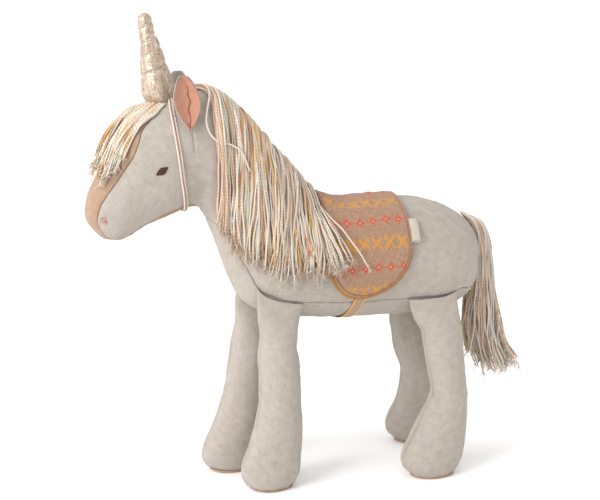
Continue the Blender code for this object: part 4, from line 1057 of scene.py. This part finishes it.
widest = np.maximum.accumulate(points[..., 0], axis=1)
points[..., 0] = np.where(t > 0.45, np.maximum(points[..., 0], widest - 2.5 * MM * t), points[..., 0])
lock_of_yarn("mane_strands", "mane_yarn", "mane", points, tints_for(count, rng), rng)

# One strand that has come loose hangs in a loop ahead of the rest.
stray_rows = [(8.55, 2, 5), (8.72, 29, 9), (8.50, 60, 4), (8.90, 74, 6), (10.05, 69, 11), (10.7, 74, 10)]
stray_rows = spline(np.array(stray_rows), np.linspace(0, 5, 44))
stray = lifted(coat, stray_rows[:, 0], stray_rows[:, 1] * DEG, stray_rows[:, 2] * MM)
strand = threads("mane_stray_strand", stray[None], YARN_RADIUS, cotton, YARN_TINTS[:1], sides=8)
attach(strand, "mane")

rng = np.random.default_rng(12)
count, steps = 120, 30
t = np.linspace(0, 1, steps)
layer, far = rng.uniform(0, 1, (2, count))
near_angles = np.interp(t, (0, 0.2, 0.45, 0.7, 1), (27, 34, 33, 37, 47))
far_angles = np.interp(t, (0, 0.3, 1), (-26, -18, -7))
lock_far = (np.floor(far * 9) + 0.5) / 9
far_now = far[:, None] + (lock_far - far)[:, None] * 0.75 * t + rng.normal(0, 0.05, (count, 1)) * t
root = 7.02 - 0.5 * far**0.7 + rng.normal(0, 0.04, count)
end = 4.35 - 0.15 * far + rng.normal(0, 0.2, count) + 0.22 * np.sin(lock_far * 29)
stations = root[:, None] + (end - root)[:, None] * t**0.95
angles = (near_angles + (far_angles - near_angles) * far_now + rng.normal(0, 2.0, (count, 1)) * t) * DEG
arch = np.sin(math.pi * t**0.8) ** 0.8
lift = 0.9 * MM + (1.0 * MM + 4.2 * MM * layer * (0.4 + 0.6 * far))[:, None] * arch + (
    (1.5 * MM + 7.0 * MM * layer * far)[:, None] * t)
points = lifted(coat, stations, angles, lift)
own_phase = rng.uniform(0, 6.28, (2, count, 1))
points[..., 0] += 1.3 * MM * np.sin(2 * math.pi * rng.uniform(0.8, 1.8, (count, 1)) * t + own_phase[0]) * t
points[..., 2] += 1.1 * MM * np.sin(2 * math.pi * rng.uniform(0.8, 2.2, (count, 1)) * t + own_phase[1]) * t
pivot = hinges["forelock"]["pos_m"]
lock_of_yarn("forelock_strands", "forelock_yarn", "forelock", points, tints_for(count, rng), rng, sewn=(
    (0, pivot[1] + 3 * MM, pivot[2]), (0, pivot[1] - 9 * MM, pivot[2] - 2 * MM)))

# The tail's middle line and radius: y and z from its root, then the radius.
TAIL_ROWS = np.array([
    (-4.5, -1, 3), (0, -3, 5.5), (6, -7.5, 8), (11, -17, 9), (14, -30, 9.5), (15.5, -43, 10),
    (16, -57, 11.5), (16, -72, 14), (16, -88, 17), (17, -104, 18.5), (19.5, -118, 19.5),
    (24, -131, 20.5), (30, -143, 21.5)]) * MM
rng = np.random.default_rng(21)
count, steps = 230, 44
t = np.linspace(0, 1, steps)
tail_root = np.array(hinges["tail"]["pos_m"])
around, out = rng.uniform(0, 6.28, count)[:, None], np.sqrt(rng.uniform(0.02, 1, count))[:, None]
reach = (1 + rng.normal(0, 0.035, count) - 0.03 * rng.uniform(0, 1, count) ** 4 * 5)[:, None].clip(0.75, 1.06)
rows = spline(TAIL_ROWS, (t * reach * 12).clip(0, 12))
beyond = np.clip(t * reach - 1, 0, None)[..., None] * np.array([0, 60 * MM, -190 * MM])
twist = around + rng.normal(0.5, 0.5, (count, 1)) * t
spread = out * rows[..., 2] * (1 + 0.25 * t**6 * rng.uniform(-0.3, 1, (count, 1)))
points = tail_root + np.stack([spread * np.sin(twist), rows[..., 0] + spread * np.cos(twist) * 0.92,
                               rows[..., 1] - 1.5 * MM * np.cos(twist) * (1 - t)], -1) + beyond
for k in (0, 1):
    for beats, most in ((1.1, 3.2), (2.4, 2.2), (5.0, 0.55)):
        beat = beats * rng.uniform(0.75, 1.3, (count, 1))
        size_of = rng.uniform(0.3, 1, (count, 1)) * most * MM
        points[..., k] += size_of * np.sin(2 * math.pi * beat * t + rng.uniform(0, 6.28, (count, 1))) * t
tints = 0.65 * tints_for(count, rng) + 0.35 * YARN_TINTS[0]
lock_of_yarn("tail_strands", "tail_yarn", "tail", points, tints, rng, sewn=(
    tuple(tail_root + (0, -2 * MM, 0)), tuple(tail_root + (0, 10 * MM, -10 * MM))))

# ---- Saddle blanket ------------------------------------------------------------------------------
# A fine two-colour knit, about 1.1 mm to a stitch, with rows of red linked diamonds and mustard
# crosses. It is sewn to a mustard lining that shows a little round its edge, and laid over the back.
BLANKET_Y, BLANKET_HALF, BLANKET_DROP = FRONT_HIP_Y + 79 * MM, 39 * MM, 113 * MM
STITCH_WIDE, STITCH_TALL, REPEAT_WIDE, REPEAT_TALL = 1.1 * MM, 1.2 * MM, 11.0, 36.0

knit_pattern, given, result = new_group(
    "knit_pattern", [("Vector", "NodeSocketVector", None), ("Edge", "NodeSocketFloat", 0.0)],
    [("Red", "NodeSocketFloat"), ("Mustard", "NodeSocketFloat"), ("White", "NodeSocketFloat"),
     ("Height", "NodeSocketFloat"), ("Marl", "NodeSocketFloat"), ("Band", "NodeSocketFloat")])


def knitted(kind, first, second=None, third=None):
    """A Math node of the knit's pattern."""
    return sums(knit_pattern, kind, first, second, third)


def from_middle(place, repeat, middle):
    """How many stitches a place lies from the middle of its repeat."""
    return knitted("ABSOLUTE", knitted("SUBTRACT", knitted("FLOORED_MODULO", place, repeat), middle))


apart = parted(knit_pattern, given.outputs["Vector"])
u = knitted("DIVIDE", apart[0], STITCH_WIDE)
across_stitch = knitted("FRACT", knitted("ADD", u, 0.5))
lean = knitted("ABSOLUTE", knitted("SUBTRACT", across_stitch, 0.5))
v = knitted("DIVIDE", knitted("ABSOLUTE", apart[1]), STITCH_TALL)
v = knitted("MULTIPLY_ADD", lean, 0.9, v)
i = knitted("FLOOR", knitted("ADD", u, 0.5))
j = knitted("FLOOR", knitted("ADD", v, 0.5))
along_stitch = knitted("FRACT", knitted("ADD", v, 0.5))
aside = from_middle(i, REPEAT_WIDE, 5.0)
from_cross = from_middle(j, REPEAT_TALL, REPEAT_TALL / 2)
from_diamond = from_middle(knitted("ADD", j, REPEAT_TALL / 2), REPEAT_TALL, REPEAT_TALL / 2)
cross = knitted("LESS_THAN", knitted("ABSOLUTE", knitted("SUBTRACT", aside, from_cross)), 1.5)
cross = knitted("MULTIPLY", cross, knitted("LESS_THAN", knitted("MAXIMUM", aside, from_cross), 4.5))
inside = knitted("ADD", aside, from_diamond)
diamond = knitted("LESS_THAN", inside, 3.5)
link = knitted("LESS_THAN", from_diamond, 0.5)
tips = knitted("LESS_THAN", knitted("MULTIPLY_ADD", aside, 9.0, from_diamond), 4.5)
middle = knitted("LESS_THAN", inside, 0.5)
red = knitted("MAXIMUM", knitted("MAXIMUM", diamond, link), tips)
body_cloth = knitted("LESS_THAN", given.outputs["Edge"], 0.5)
for name, mask in (("Red", knitted("SUBTRACT", red, middle)), ("Mustard", cross), ("White", middle)):
    knit_pattern.links.new(knitted("MULTIPLY", mask, body_cloth), result.inputs[name])
leg = knitted("ABSOLUTE", knitted("SINE", knitted("MULTIPLY", across_stitch, 2 * math.pi)))
loop = knitted("SINE", knitted("MULTIPLY", along_stitch, math.pi))
knit_pattern.links.new(knitted("MULTIPLY", knitted("POWER", leg, 0.6), knitted("POWER", loop, 0.5)),
                       result.inputs["Height"])
cell = knit_pattern.nodes.new("ShaderNodeCombineXYZ")
knit_pattern.links.new(i, cell.inputs[0])
knit_pattern.links.new(j, cell.inputs[1])
dice = knit_pattern.nodes.new("ShaderNodeTexWhiteNoise")
knit_pattern.links.new(cell.outputs[0], dice.inputs["Vector"])
streak = noise(knit_pattern, stretched(knit_pattern, cell.outputs[0], (0.35, 0.9, 1.0)), 1.0, 2)
knit_pattern.links.new(knitted("MULTIPLY_ADD", dice.outputs["Value"], 0.55, knitted(
    "MULTIPLY", streak, 0.6)), result.inputs["Marl"])
band = knit_pattern.nodes.new("ShaderNodeCombineXYZ")
knit_pattern.links.new(knitted("MULTIPLY", j, 0.14), band.inputs[1])
knit_pattern.links.new(noise(knit_pattern, band.outputs[0], 1.0, 1), result.inputs["Band"])

knit, tree, shader = new_material("patterned_knit")
group = grouped(tree, knit_pattern, cloth_map(tree))
tree.links.new(tint_of(tree).outputs["Fac"], group.inputs["Edge"])
ground = mixed(tree, group.outputs["Band"], (0.45, 0.235, 0.135, 1), (0.44, 0.285, 0.185, 1))
marled = mixed(tree, group.outputs["Marl"], (0.31, 0.135, 0.065, 1), (0.66, 0.46, 0.33, 1))
colour = mixed(tree, 0.6, ground, marled)
colour = mixed(tree, sums(tree, "MULTIPLY", group.outputs["Red"], 0.92), colour, (0.74, 0.125, 0.070, 1))
colour = mixed(tree, sums(tree, "MULTIPLY", group.outputs["Mustard"], 0.9), colour, (0.80, 0.37, 0.045, 1))
colour = mixed(tree, group.outputs["White"], colour, (0.80, 0.72, 0.64, 1))
# Painted shade: low between the stitches' loops, the colour darkens towards deep brown.
painted_stitch_shade = sums(tree, "MULTIPLY", sums(tree, "SUBTRACT", 1.0, group.outputs["Height"]), 0.6)
colour = mixed(tree, painted_stitch_shade, colour, (0.15, 0.065, 0.035, 1))
tree.links.new(colour, shader.inputs["Base Color"])
shader.inputs["Roughness"].default_value = 0.95
shader.inputs["Specular IOR Level"].default_value = 0.2
shader.inputs["Sheen Weight"].default_value = 0.15
raised_by(tree, shader, group.outputs["Height"], 0.8, 0.45 * MM)
mustard_lining = cloth_material("mustard_lining", (0.56, 0.26, 0.05, 1), (0.33, 0.12, 0.02, 1),
                                (0.30, 0.10, 0.03, 1), fleck_share=0.4)
brown_stitch = thread_material("brown_stitch", (0.30, 0.115, 0.045, 1), (0.14, 0.05, 0.02, 1))

stations, angles = np.meshgrid(np.linspace(7.5, 23, 1500), np.linspace(0, math.pi, 361), indexing="ij")
barrel_y = np.maximum.accumulate(coat(stations, angles)[..., 1], axis=0)


def barrel_wrap(y, lengths, lift):
    """Points these lengths from the ridge round the barrel, in the plane of this y. Each length is
    measured along the lifted outline; negative lengths are on the right side."""
    place = np.array([np.interp(y, barrel_y[:, k], stations[:, 0]) for k in range(361)])
    outline = lifted(coat, place, angles[0], np.full(361, lift))
    run = run_along(outline)
    points = np.stack([np.interp(np.abs(lengths), run, outline[:, k]) for k in range(3)], -1)
    points[..., 0] *= np.where(np.asarray(lengths) < 0, -1, 1)
    return points


# Where the flap hangs lowest, and how far its round end runs and rises ahead of there and behind.
FLAP_LOWEST, FLAP_RUNS, FLAP_RISES = BLANKET_Y - 6 * MM, (33 * MM, 45 * MM), (36 * MM, 50 * MM)


def blanket_drop(y, more=0.0):
    """Length from the ridge to the edge: a flap with a round end, lowest ahead of its middle."""
    ahead = y < FLAP_LOWEST
    off = np.clip(np.abs(y - FLAP_LOWEST) / (np.where(ahead, *FLAP_RUNS) + more), 0, 1)
    return BLANKET_DROP + more - np.where(ahead, *FLAP_RISES) * (1 - np.sqrt(1 - 0.995 * off**2))


def laid_sheet(name, more, lift, thick, finish, rim, seed):
    """A grid over the back, dense near its edge, wavy and a little crumpled at the front. Its UV map
    is the flat cloth in metres, and its tint is 1 on the rim."""
    shares = 0.5 - 0.5 * np.cos(np.linspace(0, math.pi, 110))
    ys = BLANKET_Y + (BLANKET_HALF + more) * (2 * shares - 1)
    across = np.sign(np.linspace(-1, 1, 261)) * np.abs(np.linspace(-1, 1, 261)) ** 0.9
    lengths = blanket_drop(ys, more)[:, None] * across
    points = np.array([barrel_wrap(y, row, lift) for y, row in zip(ys, lengths)])
    below = np.array([barrel_wrap(y, row, lift - 1 * MM) for y, row in zip(ys, lengths)])
    normal = (points - below) / (1 * MM)
    flank = np.clip((np.abs(ys - BLANKET_Y)[:, None] / (BLANKET_HALF + more)), 0, 1)
    to_edge = np.minimum(blanket_drop(ys, more)[:, None] - np.abs(lengths), (BLANKET_HALF + more) * (
        1 - np.hypot(flank, np.clip((np.abs(lengths) - BLANKET_DROP + BLANKET_HALF) / BLANKET_HALF, 0, 1))))
    waves = 0.5 * MM * (1 + ripple(points, 22 * MM, seed)) + 0.35 * MM * ripple(points, 9 * MM, seed + 1)
    front = np.exp(-(ys - ys[0])[:, None] / (16 * MM)) * np.exp(-(lengths / (40 * MM)) ** 2)
    waves = waves + 0.9 * MM * front * (1 + ripple(points, 11 * MM, seed + 2))
    waves = np.clip(waves, 0, 4 * MM) * np.clip(to_edge / (6 * MM), 0.25, 1)
    turned = -0.5 * MM * np.exp(-((to_edge - 1.7 * MM) / (0.5 * MM)) ** 2) * rim
    points = points + normal * (waves + turned)[..., None]
    uv = np.stack(np.broadcast_arrays(ys[:, None] - BLANKET_Y, lengths), -1)
    on_rim = (to_edge < 1.6 * MM).astype(float)[..., None] * np.ones(4) * rim
    sheet = surface(name, points, finish, uv=uv, behind=points - normal, wall=thick, colours=on_rim)
    return sheet, ys, lengths, points, normal


lining, *_ = laid_sheet("saddle_blanket_lining_cloth", 0.9 * MM, 2.6 * MM, 0.7 * MM, mustard_lining, 0, 71)
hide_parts("saddle_blanket_lining")
blanket, ys, lengths, points, normal = laid_sheet(
    "saddle_blanket_knit_cloth", 0.0, 4.0 * MM, 1.2 * MM, knit, 1, 71)
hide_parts("saddle_blanket_knit")

inset = 1.8 * MM
line_y = BLANKET_Y + (BLANKET_HALF - inset) * np.sin(np.linspace(-math.pi / 2, math.pi / 2, 160))
low = blanket_drop(line_y, -inset)
loop_y = np.concatenate([line_y, np.full(220, line_y[-1]), line_y[::-1], np.full(220, line_y[0])])
loop_length = np.concatenate([low, np.linspace(low[-1], -low[-1], 220), -low[::-1],
                              np.linspace(-low[0], low[0], 220)])
rows_at = np.interp(loop_y, ys, np.arange(len(ys)))
columns_at = np.sign(loop_length) * np.abs(loop_length / blanket_drop(loop_y)) ** (1 / 0.9) * 130 + 130
r, c = rows_at.astype(int).clip(0, len(ys) - 2), columns_at.astype(int).clip(0, 259)
fr, fc = (rows_at - r)[:, None], (columns_at - c)[:, None]
line = (points[r, c] * (1 - fr) + points[r + 1, c] * fr) * (1 - fc) + (
    points[r, c + 1] * (1 - fr) + points[r + 1, c + 1] * fr) * fc
paths = stitched(line, normal[r, c], 3.0 * MM, 0.7 * MM, 0.35 * MM)
edge_stitches = threads("saddle_blanket_edge_stitches", paths, 0.26 * MM, brown_stitch, sides=5)
for piece in (lining, blanket, edge_stitches):
    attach(piece, "body")

# ---- Girth strap ---------------------------------------------------------------------------------
# A woven ribbon 10 mm wide, mustard along both edges and grey-beige in its middle. Its ends are sewn
# under the flaps, and it slants forwards as it passes under the belly.
BAND_HALF_WIDTH = 2.7 * MM
ribbon, tree, shader = new_material("woven_ribbon")
where = cloth_map(tree)
apart = parted(tree, where)
off = sums(tree, "ABSOLUTE", apart[0])
on_edge = sums(tree, "GREATER_THAN", off, BAND_HALF_WIDTH)
from_edge = sums(tree, "ABSOLUTE", sums(tree, "SUBTRACT", off, BAND_HALF_WIDTH))
seam = sums(tree, "LESS_THAN", from_edge, 0.3 * MM)
rib = sums(tree, "SINE", sums(tree, "MULTIPLY", apart[1], 9000.0))
warp = sums(tree, "SINE", sums(tree, "MULTIPLY", apart[0], 11000.0))
mottle = noise(tree, stretched(tree, where, (900, 300, 1)), 1.0, 3)
middle = mixed(tree, mottle, (0.26, 0.19, 0.14, 1), (0.46, 0.37, 0.29, 1))
side_band = mixed(tree, mottle, (0.50, 0.23, 0.04, 1), (0.82, 0.46, 0.11, 1))
colour = mixed(tree, on_edge, middle, side_band)
colour = mixed(tree, sums(tree, "MULTIPLY", seam, 0.7), colour, (0.20, 0.08, 0.03, 1))
tree.links.new(colour, shader.inputs["Base Color"])
shader.inputs["Roughness"].default_value = 0.8
shader.inputs["Sheen Weight"].default_value = 0.15
raised_by(tree, shader, sums(tree, "MULTIPLY_ADD", rib, 0.6, warp), 0.5, 0.2 * MM)

GIRTH_Y = FRONT_HIP_Y + 71 * MM
half_round = 171 * MM
share = np.linspace(-1, 1, 221)
wide = np.linspace(-5, 5, 25) * MM
start = float(blanket_drop(GIRTH_Y)) - 7 * MM
lengths = start + (half_round - start) * (1 - np.abs(share))
middle_y = GIRTH_Y + 2 * MM - 8 * MM * (1 - np.abs(share)) ** 0.8
near_y = GIRTH_Y + np.linspace(-12, 8, 21) * MM
row = np.clip((middle_y[:, None] + wide - near_y[0]) / MM, 0, 19.999)
low, part, column = row.astype(int), (row % 1)[..., None], np.arange(len(share))[:, None]
layers = []
for lift in (1.35 * MM, 0.35 * MM):
    grid = np.array([barrel_wrap(y, lengths, lift) for y in near_y])
    grid = grid[low, column] * (1 - part) + grid[low + 1, column] * part
    grid[..., 0] *= np.where(share < 0, -1, 1)[:, None]
    grid[110, :, 0] = 0
    layers.append(grid)
points, below = layers
uv = np.stack(np.broadcast_arrays(wide, (lengths * np.sign(share + 1e-9))[:, None]), -1)
girth = surface("girth_strap_ribbon", points, ribbon, uv=uv, behind=below, wall=0.7 * MM)
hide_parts("girth_strap")
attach(girth, "body")

# ---- Tag -----------------------------------------------------------------------------------------
# A blank loop of cream ribbon, folded double, with its two ends caught in the blanket's rear seam.
tag_cloth = cloth_material("cream_tag_cloth", (0.56, 0.49, 0.41, 1), (0.42, 0.36, 0.29, 1),
                           (0.55, 0.45, 0.36, 1), bump=0.35, fleck_share=0.1, to_the_metre=3600.0)
drops = np.linspace(44, 65, 60) * MM
fold = np.array([(0, 0.45), (2, 0.62), (4, 0.70), (6, 0.66), (7.3, 0.50), (7.8, 0.25), (8.0, 0), (7.8, -0.25),
                 (7.3, -0.50), (6, -0.62), (4, -0.62), (2, -0.55), (0, -0.45)]) * MM
fold = spline(fold, np.linspace(0, len(fold) - 1, 61))
start_y = BLANKET_Y + BLANKET_HALF + 0.2 * MM
cupped = 0.5 * MM * np.sin(np.linspace(0, 3.0, 60))
outer, middle = [], []
for off_y, off_z in fold:
    above = barrel_wrap(start_y + off_y, drops, 4.4 * MM + off_z)
    core = barrel_wrap(start_y + min(off_y, 7.4 * MM), drops, 4.4 * MM)
    push = np.zeros_like(above)
    push[:, 0] = cupped * (off_y / (8 * MM))
    outer.append(above + push)
    middle.append(core + push)
outer, middle = np.array(outer).transpose(1, 0, 2), np.array(middle).transpose(1, 0, 2)
tag = surface("woven_tag_cloth", outer, tag_cloth, behind=middle, wall=0.3 * MM)
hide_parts("woven_tag")
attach(tag, "tag")

# ---- Stuffing ------------------------------------------------------------------------------------
# White polyester fibre fills the body, the legs and the horn: matted curls, all inside the cloth.
fibre, tree, shader = new_material("fibre_stuffing")
where = tree.nodes.new("ShaderNodeTexCoord").outputs["Object"]
swirl = noise(tree, where, 60, 3)
curls = tree.nodes.new("ShaderNodeTexWave")
curls.inputs["Scale"].default_value = 90.0
curls.inputs["Distortion"].default_value = 14.0
curls.inputs["Detail"].default_value = 3.0
tree.links.new(where, curls.inputs["Vector"])
tuft = sums(tree, "MULTIPLY_ADD", curls.outputs["Fac"], 0.5, sums(tree, "MULTIPLY", swirl, 0.5))
tree.links.new(mixed(tree, tuft, (0.62, 0.60, 0.57, 1), (0.86, 0.85, 0.83, 1)), shader.inputs["Base Color"])
shader.inputs["Roughness"].default_value = 0.95
raised_by(tree, shader, tuft, 0.7, 1 * MM)
for obj in list(bpy.data.objects):
    if obj.type == "MESH" and "stuffing" in obj.name:
        obj.data.materials.clear()
        obj.data.materials.append(fibre)
